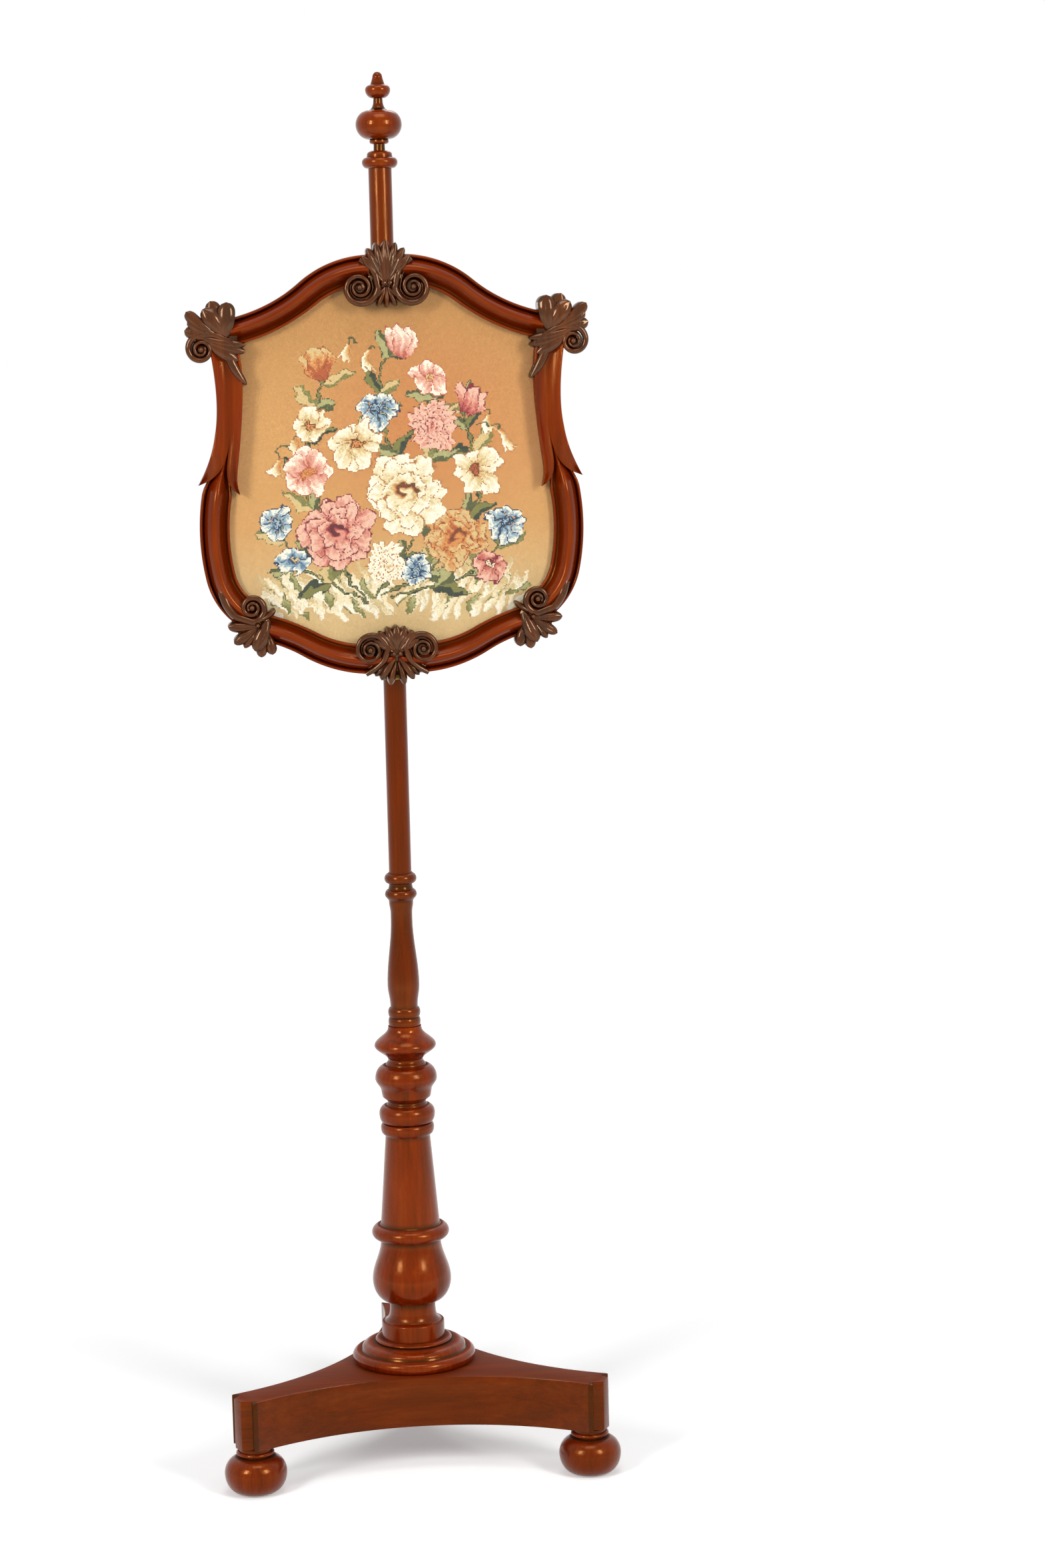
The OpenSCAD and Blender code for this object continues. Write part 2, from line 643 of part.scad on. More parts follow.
module volute(at) {
    top = frame_t + relief - 6;
    outer = volute_r - coil_r - coil_gap;
    translate(concat(at, [frame_back])) {
        cylinder(h = top, r = volute_r);
        for (c = [[outer, coil_r], [outer - coil_r - inner_coil_r - coil_gap, inner_coil_r]])
            translate([0, 0, top]) rotate_extrude($fn = 32) translate([c[0], 0]) circle(r = c[1], $fn = 16);
        translate([0, 0, top]) sphere(r = eye_r, $fn = 20);
    }
}

// Straight rebate behind the crest, level with the panel's top edge
module crest_rebate() {
    edge = top_start[0][1] - rail_w / 2 + rebate_lap + panel_gap;
    translate([-2 * crest_seat, 0, frame_back - 1]) cube([4 * crest_seat, edge, rebate_t + 1]);
}

module crest() {
    color(carved) difference() {
        upright() leafage(crest_at, crest_leaves, crest_seat, crest_volutes);
        upright() crest_rebate();
        bracket_screw_holes();
    }
}

module apron() {
    color(carved) difference() {
        upright() rebated() leafage(apron_at, apron_leaves, apron_seat, apron_volutes);
        upright() for (side = ["left", "right"]) on_side(side) seat_space(apron_volute, volute_r);
        bracket_screw_holes();
    }
}

module crest_scroll(side) color(carved) upright() on_side(side) rebated() volute(crest_volute);
module apron_scroll(side) color(carved) upright() on_side(side) rebated() volute(apron_volute);

module ear(side) {
    color(carved) upright() on_side(side) rebated()
        leafage(ear_at, ear_leaves, ear_seat, ear_volutes);
}

module knee(side) {
    color(carved) upright() on_side(side) rebated() difference() {
        leafage(knee_at, knee_leaves, knee_seat, knee_volutes);
        seat_space(knee_volute, volute_r);
    }
}

module ear_scroll(side) color(carved) upright() on_side(side) rebated() volute(ear_volute);
module knee_scroll(side) color(carved) upright() on_side(side) rebated() volute(knee_volute);

// The panel's sheets are a little smaller all round than the space they lie in
panel_share = 1 - panel_gap / stile_apex[0];

module panel_sheet(from_front, t) {
    upright() translate([0, 0, frame_back + rebate_t - from_front - t])
        linear_extrude(t) polygon(panel_share * outline(rebate_lap + panel_gap));
}

module glass() color("lightblue", 0.35) panel_sheet(0, glass_t);
module needlework() color(linen) panel_sheet(glass_t, canvas_t);
module strainer() color(deal) panel_sheet(glass_t + canvas_t, strainer_t);

module back_board() {
    color(deal) difference() {
        upright() difference() {
            translate([0, 0, frame_back - back_board_t])
                linear_extrude(back_board_t) polygon(outline(back_lap));
            board_screw_holes(1);
        }
        for (z = [upper_ring_z, lower_ring_z])
            translate([-plate_w / 2 - 0.5, -frame_back - 1, z - plate_h / 2 - 0.5])
                cube([plate_w + 1, back_board_t + 2, plate_h + 1]);
    }
}

board_head_d = 2.1 * board_screw_d;
board_head_t = 1;

module board_screws() {
    color(brass) upright() at_board_screws() {
        translate([0, 0, frame_back - back_board_t - board_head_t])
            cylinder(h = board_head_t, d = board_head_d);
        translate([0, 0, frame_back - back_board_t - 0.5])
            cylinder(h = back_board_t + 0.5 + board_screw_len, d = board_screw_d);
    }
}

foot(90);  // foot_back
foot(210);  // foot_left
foot(330);  // foot_right
platform();
base_ring();
column();
tenon_wedge();
stem();
pole();
bush_upper();
bush_lower();
bracket_upper();
bracket_lower();
bracket_screws();
thumb_screw();
finial();
crest_rail("left");  // crest_rail_left
crest_rail("right");  // crest_rail_right
shoulder_rail("left");  // shoulder_rail_left
shoulder_rail("right");  // shoulder_rail_right
side_leaf("left");  // side_leaf_left
side_leaf("right");  // side_leaf_right
stile("left");  // stile_left
stile("right");  // stile_right
stile_foot("left");  // stile_foot_left
stile_foot("right");  // stile_foot_right
apron_rail("left");  // apron_rail_left
apron_rail("right");  // apron_rail_right
knee_rail("left");  // knee_rail_left
knee_rail("right");  // knee_rail_right
crest();
crest_scroll("left");  // crest_scroll_left
crest_scroll("right");  // crest_scroll_right
apron();
apron_scroll("left");  // apron_scroll_left
apron_scroll("right");  // apron_scroll_right
ear("left");  // ear_left
ear("right");  // ear_right
knee("left");  // knee_left
knee("right");  // knee_right
ear_scroll("left");  // ear_scroll_left
ear_scroll("right");  // ear_scroll_right
knee_scroll("left");  // knee_scroll_left
knee_scroll("right");  // knee_scroll_right
glass();
needlework();
strainer();
back_board();
board_screws();
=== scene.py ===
"""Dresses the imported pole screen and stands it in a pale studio."""
import logging
from dataclasses import dataclass, field
from enum import Enum
from math import asin, atan2, copysign, cos, degrees, hypot, pi, radians, sin, tau
from typing import Callable, Sequence

import bmesh
import bpy
import numpy as np
from bpy.types import Material, Mesh, Node, NodeSocket as Socket, NodeTree as Tree, Object, Scene
from mathutils import Matrix, Vector


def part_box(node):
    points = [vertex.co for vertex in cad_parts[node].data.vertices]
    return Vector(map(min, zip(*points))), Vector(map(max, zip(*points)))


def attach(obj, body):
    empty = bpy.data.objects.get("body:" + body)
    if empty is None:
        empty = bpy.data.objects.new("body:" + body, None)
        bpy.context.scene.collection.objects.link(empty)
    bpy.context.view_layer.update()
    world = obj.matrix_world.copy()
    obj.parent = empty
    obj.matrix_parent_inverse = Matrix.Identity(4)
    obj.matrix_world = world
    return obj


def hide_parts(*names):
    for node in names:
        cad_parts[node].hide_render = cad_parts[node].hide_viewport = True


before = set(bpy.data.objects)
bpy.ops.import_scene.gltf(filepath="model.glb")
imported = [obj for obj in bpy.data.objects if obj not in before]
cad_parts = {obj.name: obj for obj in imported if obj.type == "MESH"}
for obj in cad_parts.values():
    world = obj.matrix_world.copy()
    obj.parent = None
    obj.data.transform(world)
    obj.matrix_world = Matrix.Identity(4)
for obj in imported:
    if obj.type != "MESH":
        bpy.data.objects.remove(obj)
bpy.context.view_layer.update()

LOG = logging.getLogger("pole_screen")
MM = 0.001

Array = np.ndarray
Point = tuple[float, float]
Station = tuple[Array, float, float]
Shell = tuple[Array, list, Array]

# Places shared by the screen's pieces, in millimetres
SCREEN_Z = 1090.0
FRAME_BACK = 23.95
FRAME_T = 26.0
REBATE_T = 10.0
REBATE_LAP = 7.3
RAIL_W = 28.5
STILE_W = 31.5
SIDES = ((1, "right"), (-1, "left"))


class Body(Enum):
    """The bodies that pieces ride on."""

    STAND = "stand"
    SCREEN = "screen"
    THUMB_SCREW = "thumb_screw"
    FINIAL = "finial"


class Slot(Enum):
    """The record's material slots."""

    POLISHED = "polished_mahogany"
    CARVED = "carved_mahogany"
    BRASS = "aged_brass"
    LEATHER = "bush_leather"
    PALE_WOOD = "pale_wood"
    GLASS = "clear_glass"
    WOOL = "wool_canvas"


class Run(Enum):
    """Shape of a turned profile between two steps."""

    LINE = "line"
    WAVE = "wave"
    ROUND = "round"
    CUP = "cup"


def linear(hex_colour: str) -> tuple[float, float, float, float]:
    """Turns six hexadecimal digits, red first, into a linear colour with an alpha of one."""
    parts = [int(hex_colour[i:i + 2], 16) / 255 for i in (0, 2, 4)]
    return tuple(c / 12.92 if c <= 0.04045 else ((c + 0.055) / 1.055) ** 2.4 for c in parts) + (1.0,)


Sockets = bpy.types.bpy_prop_collection
VECTOR = "FLOAT_VECTOR"
SAME_PLACE = 1e-6
WHITE = (1.0, 1.0, 1.0, 1.0)


class NodeTree:
    """Adds and links the nodes of one tree."""

    def __init__(self, tree: Tree) -> None:
        """Holds the tree that is being built."""
        self.tree = tree

    def feed(self, node: Node, values: dict) -> None:
        """Sets or links inputs of a node.

        Args:
            node: The node.
            values: Socket name or number to a value, or to the output that feeds it.
        """
        for key, value in values.items():
            if isinstance(value, Socket):
                self.tree.links.new(value, node.inputs[key])
            else:
                node.inputs[key].default_value = value

    def add(self, kind: str, values: dict | None = None, **settings: object) -> Node:
        """Adds a node.

        Args:
            kind: The node's type name.
            values: Its inputs, as feed takes them.
            settings: Properties of the node, set before its inputs.

        Returns:
            The new node.
        """
        node = self.tree.nodes.new(kind)
        for name, value in settings.items():
            setattr(node, name, value)
        self.feed(node, values or {})
        return node

    def first(self, kind: str, values: dict | None = None, **settings: object) -> Socket:
        """Adds a node and returns its first output."""
        return self.add(kind, values, **settings).outputs[0]

    def math(self, operation: str, a: object, b: object = 0.0) -> Socket:
        """Adds a maths node and returns its result."""
        return self.first("ShaderNodeMath", {0: a, 1: b}, operation=operation)

    def whole(self, operation: str, a: object, b: object) -> Socket:
        """Adds an integer maths node and returns its result."""
        return self.first("FunctionNodeIntegerMath", {0: a, 1: b}, operation=operation)

    def mix(self, factor: object, a: object, b: object) -> Socket:
        """Mixes two colours and returns the result."""
        return self.add("ShaderNodeMix", {0: factor, 6: a, 7: b}, data_type="RGBA").outputs[2]

    def spread(self, value: object, low: float, high: float, to_low: float, to_high: float) -> Socket:
        """Maps a value from one range to another and returns the result."""
        return self.first("ShaderNodeMapRange", {0: value, 1: low, 2: high, 3: to_low, 4: to_high})

    def parts(self, vector: Socket) -> Sockets:
        """Splits a vector into its three parts."""
        return self.add("ShaderNodeSeparateXYZ", {0: vector}).outputs

    def xyz(self, x: object, y: object, z: object) -> Socket:
        """Makes a vector of three parts."""
        return self.first("ShaderNodeCombineXYZ", {0: x, 1: y, 2: z})

    def noise(self, place: Socket, scale: float, detail: float = 2.0, roughness: float = 0.5,
              distortion: float = 0.0) -> Socket:
        """Adds a noise texture and returns its value.

        Args:
            place: Where it is read.
            scale: Its scale.
            detail: Its detail.
            roughness: Its roughness.
            distortion: Its distortion.

        Returns:
            The value's socket.
        """
        return self.first("ShaderNodeTexNoise", {
            "Vector": place, "Scale": scale, "Detail": detail, "Roughness": roughness,
            "Distortion": distortion})

    def bump(self, height: Socket, strength: float, distance: float) -> Socket:
        """Turns a height into a normal."""
        return self.first("ShaderNodeBump", {"Strength": strength, "Distance": distance, "Height": height})

    def read(self, name: str, kind: str = "FLOAT") -> Socket:
        """Reads a named value of the geometry."""
        return self.first("GeometryNodeInputNamedAttribute", {"Name": name}, data_type=kind)

    def store(self, shape: Socket, name: str, value: Socket, kind: str = "FLOAT") -> Socket:
        """Stores a named value of each point and returns the geometry."""
        return self.first("GeometryNodeStoreNamedAttribute", {
            "Geometry": shape, "Name": name, "Value": value}, data_type=kind, domain="POINT")

    def sample(self, shape: Socket, value: Socket, index: Socket, kind: str = "FLOAT") -> Socket:
        """Reads a value of other geometry at a point number."""
        return self.first("GeometryNodeSampleIndex", {
            "Geometry": shape, "Value": value, "Index": index}, data_type=kind, domain="POINT")


def new_group(name: str, kind: str, inputs: dict[str, str],
              outputs: dict[str, str]) -> tuple[NodeTree, Sockets]:
    """Starts a node group.

    Args:
        name: The group's name.
        kind: Geometry or Shader.
        inputs: Name and socket type of each input.
        outputs: Name and socket type of each output.

    Returns:
        The tree, and its inputs by name.
    """
    tree = bpy.data.node_groups.new(name, f"{kind}NodeTree")
    for way, sockets in (("INPUT", inputs), ("OUTPUT", outputs)):
        for label, socket in sockets.items():
            tree.interface.new_socket(name=label, in_out=way, socket_type=f"NodeSocket{socket}")
    made = NodeTree(tree)
    return made, made.add("NodeGroupInput").outputs


def add_object(name: str, data: bpy.types.ID) -> Object:
    """Adds an object to the scene.

    Args:
        name: Its name.
        data: Its mesh, lamp or camera.

    Returns:
        The object.
    """
    obj = bpy.data.objects.new(name, data)
    bpy.context.scene.collection.objects.link(obj)
    return obj


def new_mesh(name: str, points: Array, faces: Sequence, edges: Sequence = ()) -> Mesh:
    """Makes a mesh.

    Args:
        name: Its name.
        points: Places in metres.
        faces: Point numbers of each face.
        edges: Point numbers of each loose edge.

    Returns:
        The mesh.
    """
    mesh = bpy.data.meshes.new(name)
    mesh.from_pydata(np.asarray(points).tolist(), list(edges), list(faces))
    return mesh


class GeometryTrees:
    """The geometry trees that shape turned, moulded and scrolled pieces."""

    def __init__(self) -> None:
        """Builds each tree once."""
        self.turned = self._turned()
        self.moulded = self._moulded()
        self.scrolled = self._scrolled()
        self.screwed = self._screwed()

    @staticmethod
    def _start(name: str, **inputs: str) -> tuple[NodeTree, Sockets]:
        """Starts a tree that takes geometry, some inputs and a material."""
        taken = {"Geometry": "Geometry", **inputs, "Material": "Material"}
        return new_group(name, "Geometry", taken, {"Geometry": "Geometry"})

    @staticmethod
    def _closed(t: NodeTree, shape: Socket) -> Socket:
        """Joins the points that lie on each other."""
        return t.first("GeometryNodeMergeByDistance", {"Geometry": shape, "Distance": SAME_PLACE})

    @staticmethod
    def _end(t: NodeTree, shape: Socket, material: Socket) -> Tree:
        """Ends a tree in realised, smooth geometry with its material.

        Args:
            t: The tree.
            shape: Its geometry.
            material: The material's socket.

        Returns:
            The finished tree.
        """
        real = t.first("GeometryNodeRealizeInstances", {0: shape})
        smooth = t.first("GeometryNodeSetShadeSmooth", {"Geometry": real, "Shade Smooth": True})
        dressed = t.first("GeometryNodeSetMaterial", {"Geometry": smooth, "Material": material})
        t.add("NodeGroupOutput", {0: dressed})
        return t.tree

    def _turned(self) -> Tree:
        """A profile of points (radius, 0, height) turned about the upright axis.

        Returns:
            The tree.
        """
        t, given = self._start("turned_form", Turns="Int")
        profile, turns = given["Geometry"], given["Turns"]
        count = t.add("GeometryNodeAttributeDomainSize", {0: profile}).outputs["Point Count"]
        grid = t.first("GeometryNodeMeshGrid", {"Vertices X": t.whole("ADD", turns, 1), "Vertices Y": count})
        index = t.first("GeometryNodeInputIndex")
        column = t.whole("DIVIDE_FLOOR", index, count)
        row = t.whole("MODULO", index, count)
        point = t.parts(t.sample(profile, t.first("GeometryNodeInputPosition"), row, VECTOR))
        angle = t.math("MULTIPLY", t.math("DIVIDE", column, turns), tau)
        x, y = (t.math("MULTIPLY", point[0], t.math(way, angle)) for way in ("COSINE", "SINE"))
        shaped = t.first("GeometryNodeSetPosition", {"Geometry": grid, "Position": t.xyz(x, y, point[2])})
        # Carries each profile point's painted shade and tone round the turning.
        stored = t.store(shaped, "opened", t.sample(profile, t.read("opened"), row))
        return self._end(t, self._closed(t, stored), given["Material"])

    def _moulded(self) -> Tree:
        """A section carried along a line of stations, closed at both ends.

        The seed mesh holds the stations' outer edge first and the section's points after them.

        Returns:
            The tree.
        """
        t, given = self._start("moulded_form", Stations="Int", Middle="Float")
        seed, stations, middle = (given[k] for k in ("Geometry", "Stations", "Middle"))
        count = t.add("GeometryNodeAttributeDomainSize", {0: seed}).outputs["Point Count"]
        ring = t.whole("SUBTRACT", count, stations)
        grid = t.first("GeometryNodeMeshGrid", {"Vertices X": stations, "Vertices Y": ring})
        index = t.first("GeometryNodeInputIndex")
        station = t.whole("DIVIDE_FLOOR", index, ring)
        step = t.whole("ADD", t.whole("MODULO", index, ring), stations)
        place = t.first("GeometryNodeInputPosition")
        edge = t.sample(seed, place, station, VECTOR)
        reach = t.sample(seed, t.read("across", VECTOR), station, VECTOR)
        size, run = (t.sample(seed, t.read(name), station) for name in ("swell", "along"))
        mark = t.parts(t.sample(seed, place, step, VECTOR))
        share = t.math("ADD", t.math("MULTIPLY", t.math("SUBTRACT", mark[0], 0.5), size), 0.5)
        lift = t.math("MULTIPLY", t.math("SUBTRACT", mark[1], middle), t.math("MINIMUM", size, 1.0))
        height = t.math("ADD", lift, middle)
        out = t.first("ShaderNodeVectorMath", {0: reach, "Scale": share}, operation="SCALE")
        flat = t.first("ShaderNodeVectorMath", {0: edge, 1: out}, operation="ADD")
        front = t.xyz(0.0, t.math("MULTIPLY", height, -1.0), 0.0)
        total = t.first("ShaderNodeVectorMath", {0: flat, 1: front}, operation="ADD")
        shaped = t.first("GeometryNodeSetPosition", {"Geometry": grid, "Position": total})
        width = t.add("ShaderNodeVectorMath", {0: reach}, operation="LENGTH").outputs["Value"]
        grain = t.xyz(run, t.math("MULTIPLY", share, width), height)
        # The section's third value, its painted shade and tone, is stored with the grain.
        stored = t.store(t.store(shaped, "grain_at", grain, VECTOR), "opened", mark[2])
        return self._end(t, self._closed(t, stored), given["Material"])

    def _scrolled(self) -> Tree:
        """A round rod along a line of points, as thick as each point's girth.

        Returns:
            The tree.
        """
        t, given = self._start("scrolled_form", Sides="Int")
        line = t.first("GeometryNodeMeshToCurve", {"Mesh": given["Geometry"]})
        ring = t.first("GeometryNodeCurvePrimitiveCircle", {"Resolution": given["Sides"], "Radius": 1.0})
        rod = t.first("GeometryNodeCurveToMesh", {
            "Curve": line, "Profile Curve": ring, "Scale": t.read("girth"), "Fill Caps": True})
        return self._end(t, self._closed(t, rod), given["Material"])

    def _screwed(self) -> Tree:
        """A copy of one screw at each point, each turned at random.

        Returns:
            The tree.
        """
        t, given = self._start("screwed_form", Screw="Object")
        screw = t.add("GeometryNodeObjectInfo", {"Object": given["Screw"]}, transform_space="ORIGINAL")
        turn = t.add("FunctionNodeRandomValue", {"Seed": 4, 2: 0.0, 3: pi}, data_type="FLOAT").outputs[1]
        copies = t.first("GeometryNodeInstanceOnPoints", {
            "Points": given["Geometry"], "Instance": screw.outputs["Geometry"],
            "Rotation": t.xyz(0.0, turn, 0.0)})
        return self._end(t, copies, given["Material"])

    @staticmethod
    def run(tree: Tree, seed: Mesh, inputs: dict[str, object]) -> Mesh:
        """Shapes a seed mesh with a tree.

        Args:
            tree: The geometry tree.
            seed: The mesh that it starts from.
            inputs: Values of the tree's inputs by name.

        Returns:
            A plain mesh of the result.
        """
        obj = add_object("seed", seed)
        modifier = obj.modifiers.new("shape", "NODES")
        modifier.node_group = tree
        for item in tree.interface.items_tree:
            if item.item_type == "SOCKET" and item.in_out == "INPUT" and item.name in inputs:
                modifier[item.identifier] = inputs[item.name]
        graph = bpy.context.evaluated_depsgraph_get()
        mesh = bpy.data.meshes.new_from_object(
            obj.evaluated_get(graph), preserve_all_data_layers=True, depsgraph=graph)
        obj.modifiers.remove(modifier)
        bpy.data.objects.remove(obj)
        return mesh


class ShaderGroups:
    """Shader node groups that several finishes share."""

    def __init__(self) -> None:
        """Builds each group once."""
        self.figure = self._figure()
        self.handling = self._handling()

    @staticmethod
    def use(t: NodeTree, group: Tree, place: Socket, **values: float) -> Sockets:
        """Adds a group to a finish at a place and returns its outputs."""
        return t.add("ShaderNodeGroup", {"Place": place, **values}, node_tree=group).outputs

    @staticmethod
    def _figure() -> Tree:
        """Wood figure that runs along the first axis: broad streaks, fine fibre and pores.

        Returns:
            The group.
        """
        t, given = new_group(
            "wood_figure", "Shader", {"Place": "Vector", "Streaks": "Float", "Length": "Float"},
            {"Figure": "Float", "Fibre": "Float", "Pores": "Float"})
        place = t.parts(given["Place"])

        def stretched(fine: float, long: float) -> Socket:
            """The place, stretched along the grain.

            Args:
                fine: Scale across the grain.
                long: Scale along the grain.

            Returns:
                The stretched place.
            """
            side = t.math("MULTIPLY", given["Streaks"], fine)
            along = t.math("MULTIPLY", given["Length"], long)
            return t.xyz(*(t.math("MULTIPLY", p, size) for p, size in zip(place, (along, side, side))))

        broad = t.noise(stretched(0.22, 0.5), 1.0, 3.0, 0.5, 0.8)
        middle = t.noise(stretched(1.0, 1.0), 1.0, 4.0, 0.6, 0.3)
        fine = t.noise(stretched(5.0, 4.0), 1.0, 2.0, 0.6)
        figure = t.math("ADD", t.math("MULTIPLY", broad, 0.6), t.math("MULTIPLY", middle, 0.4))
        t.add("NodeGroupOutput", {0: figure, 1: middle, 2: t.spread(fine, 0.56, 0.7, 0.0, 1.0)})
        return t.tree

    @staticmethod
    def _handling() -> Tree:
        """Uneven polish: cloudy patches and a few small scuffs.

        Returns:
            The group.
        """
        t, given = new_group("handling", "Shader", {"Place": "Vector", "Scuffs": "Float"},
                             {"Cloud": "Float", "Scuff": "Float"})
        place, scuffs = given["Place"], given["Scuffs"]
        marks = t.noise(place, 130.0, 5.0, 0.7, 1.5)
        edge = t.math("SUBTRACT", 0.78, t.math("MULTIPLY", scuffs, 0.1))
        scuff = t.math("MULTIPLY", t.math("GREATER_THAN", marks, edge), scuffs)
        t.add("NodeGroupOutput", {0: t.noise(place, 14.0, 3.0), 1: scuff})
        return t.tree


def fresh_material(name: str) -> tuple[Material, NodeTree, Node]:
    """Makes a material with a Principled shader.

    Args:
        name: The material's name.

    Returns:
        The material, its tree and its shader node.
    """
    material = bpy.data.materials.new(name)
    material.use_nodes = True
    return material, NodeTree(material.node_tree), material.node_tree.nodes["Principled BSDF"]


@dataclass(frozen=True)
class WoodFinish:
    """French-polished mahogany: streaked colour under a glossy coat, with painted shade in its grooves and
    hollows.
    """

    name: str
    dark: str
    mid: str
    light: str
    gloss: str = "ffae5c"
    level: float = 0.5
    roughness: float = 0.15
    coat: float = 0.05
    coat_roughness: float = 0.12
    streaks: float = 260.0
    length: float = 9.0
    scuffs: float = 0.0
    dusted: float = 0.75
    # Strength and colour of the painted shade in grooves, hollows, notches and on backs.
    painted_shade_depth: float = 0.9
    hollow: str = "160600"
    rubbed: str = "c79a6a"

    def material(self, groups: ShaderGroups) -> Material:
        """Builds the finish from the shared groups.

        Args:
            groups: Shared shader groups.

        Returns:
            The material.
        """
        material, t, shader = fresh_material(self.name)
        dark = linear(self.dark)
        places = t.add("ShaderNodeTexCoord").outputs
        grain = t.add("ShaderNodeAttribute", attribute_name="grain_at").outputs["Vector"]
        figure = groups.use(t, groups.figure, grain, Streaks=self.streaks, Length=self.length)
        handling = groups.use(t, groups.handling, places["Object"], Scuffs=self.scuffs)
        ramp = t.add("ShaderNodeValToRGB", {0: figure["Figure"]})
        stops = ramp.color_ramp.elements
        stops[0].position, stops[0].color = 0.3, dark
        stops[1].position, stops[1].color = 0.72, linear(self.light)
        stops.new(0.5).color = linear(self.mid)
        pored = t.mix(t.math("MULTIPLY", figure["Pores"], 0.25), ramp.outputs[0], dark)
        toned = t.mix(t.spread(handling["Cloud"], 0.35, 0.65, 0.0, 0.28), pored, dark)
        worn = t.mix(t.math("MULTIPLY", handling["Scuff"], 0.5), toned, linear(self.rubbed))
        # Painted shade: the base colour goes towards the hollow colour where the stored painted shade value
        # is low, and the coat thins there.
        opened = t.add("ShaderNodeAttribute", attribute_name="opened").outputs["Fac"]
        rough = t.spread(handling["Cloud"], 0.3, 0.7, self.roughness - 0.06, self.roughness + 0.1)
        rough = t.math("ADD", rough, t.math("MULTIPLY", figure["Pores"], 0.12))
        upward = t.parts(places["Normal"])[2]
        coat = t.spread(opened, 0.15, 0.55, 0.12 * self.coat, self.coat)
        t.feed(shader, {
            "Base Color": t.mix(t.spread(opened, 0.1, 0.95, self.painted_shade_depth, 0.0), worn, linear(self.hollow)),
            "Roughness": t.math("MAXIMUM", rough, t.spread(upward, 0.9, 0.99, 0.0, self.dusted)),
            "Normal": t.bump(t.math("SUBTRACT", figure["Fibre"], figure["Pores"]), 0.12, 0.0004),
            "Coat Weight": t.math("MULTIPLY", coat, t.spread(upward, 0.9, 0.99, 1.0, 0.0)),
            "Coat Roughness": self.coat_roughness, "Specular IOR Level": self.level,
            "Specular Tint": linear(self.gloss)})
        return material


@dataclass(frozen=True)
class BrassFinish:
    """Old lacquered brass with brown tarnish."""

    name: str = "aged_brass_finish"
    bright: str = "b8964f"
    tarnish: str = "5d4522"

    def material(self, groups: ShaderGroups) -> Material:
        """Builds the finish from the shared groups.

        Args:
            groups: Shared shader groups.

        Returns:
            The material.
        """
        material, t, shader = fresh_material(self.name)
        place = t.add("ShaderNodeTexCoord").outputs["Object"]
        cloud = groups.use(t, groups.handling, place, Scuffs=0.6)["Cloud"]
        fine = t.math("MULTIPLY", t.noise(place, 160.0, 4.0), 0.4)
        stain = t.spread(t.math("ADD", t.math("MULTIPLY", cloud, 0.6), fine), 0.42, 0.62, 0.0, 1.0)
        t.feed(shader, {
            "Base Color": t.mix(stain, linear(self.bright), linear(self.tarnish)),
            "Roughness": t.spread(stain, 0.0, 1.0, 0.25, 0.5), "Metallic": 0.85})
        return material


@dataclass(frozen=True)
class LeatherFinish:
    """Dark leather, rubbed where it slides."""

    name: str = "bush_leather_finish"
    hide: str = "4a2f1d"
    rubbed: str = "7a5636"

    def material(self, groups: ShaderGroups) -> Material:
        """Builds the finish from the shared groups.

        Args:
            groups: Shared shader groups.

        Returns:
            The material.
        """
        material, t, shader = fresh_material(self.name)
        place = t.add("ShaderNodeTexCoord").outputs["Object"]
        worn = t.spread(groups.use(t, groups.handling, place, Scuffs=0.3)["Cloud"], 0.4, 0.6, 0.0, 1.0)
        cells = t.add("ShaderNodeTexVoronoi", {"Vector": place, "Scale": 900.0}).outputs["Distance"]
        t.feed(shader, {
            "Base Color": t.mix(worn, linear(self.hide), linear(self.rubbed)),
            "Normal": t.bump(cells, 0.4, 0.0003), "Roughness": 0.62})
        return material


@dataclass(frozen=True)
class BoardFinish:
    """Plain unpolished board, toned with age."""

    name: str = "pale_wood_finish"
    pale: str = "b38a58"
    deep: str = "7d5a35"

    def material(self, groups: ShaderGroups) -> Material:
        """Builds the finish from the shared groups.

        Args:
            groups: Shared shader groups.

        Returns:
            The material.
        """
        material, t, shader = fresh_material(self.name)
        deep = linear(self.deep)
        place = t.add("ShaderNodeTexCoord").outputs["Object"]
        turned = t.first("ShaderNodeMapping", {"Vector": place, "Rotation": (0.0, pi / 2, 0.0)})
        figure = groups.use(t, groups.figure, turned, Streaks=120.0, Length=5.0)
        cloud = groups.use(t, groups.handling, place, Scuffs=0.2)["Cloud"]
        base = t.mix(t.spread(figure["Figure"], 0.35, 0.65, 0.0, 1.0), deep, linear(self.pale))
        t.feed(shader, {
            "Base Color": t.mix(t.spread(cloud, 0.4, 0.7, 0.0, 0.4), base, deep),
            "Normal": t.bump(figure["Fibre"], 0.3, 0.0004), "Roughness": 0.75})
        return material


@dataclass(frozen=True)
class GlassFinish:
    """Clear sheet glass that lets the lamps through to the needlework."""

    name: str = "clear_glass_finish"

    def material(self, _: ShaderGroups) -> Material:
        """Builds the finish, without the shared groups.

        Args:
            _: Not used.

        Returns:
            The material.
        """
        material, t, shader = fresh_material(self.name)
        t.feed(shader, {"Base Color": WHITE, "Roughness": 0.02, "Transmission Weight": 1.0, "IOR": 1.2})
        path = t.add("ShaderNodeLightPath").outputs
        through = t.math("MAXIMUM", path["Is Shadow Ray"], path["Is Diffuse Ray"])
        clear = t.first("ShaderNodeBsdfTransparent")
        mixed = t.first("ShaderNodeMixShader", {0: through, 1: shader.outputs[0], 2: clear})
        t.feed(t.tree.nodes["Material Output"], {"Surface": mixed})
        return material


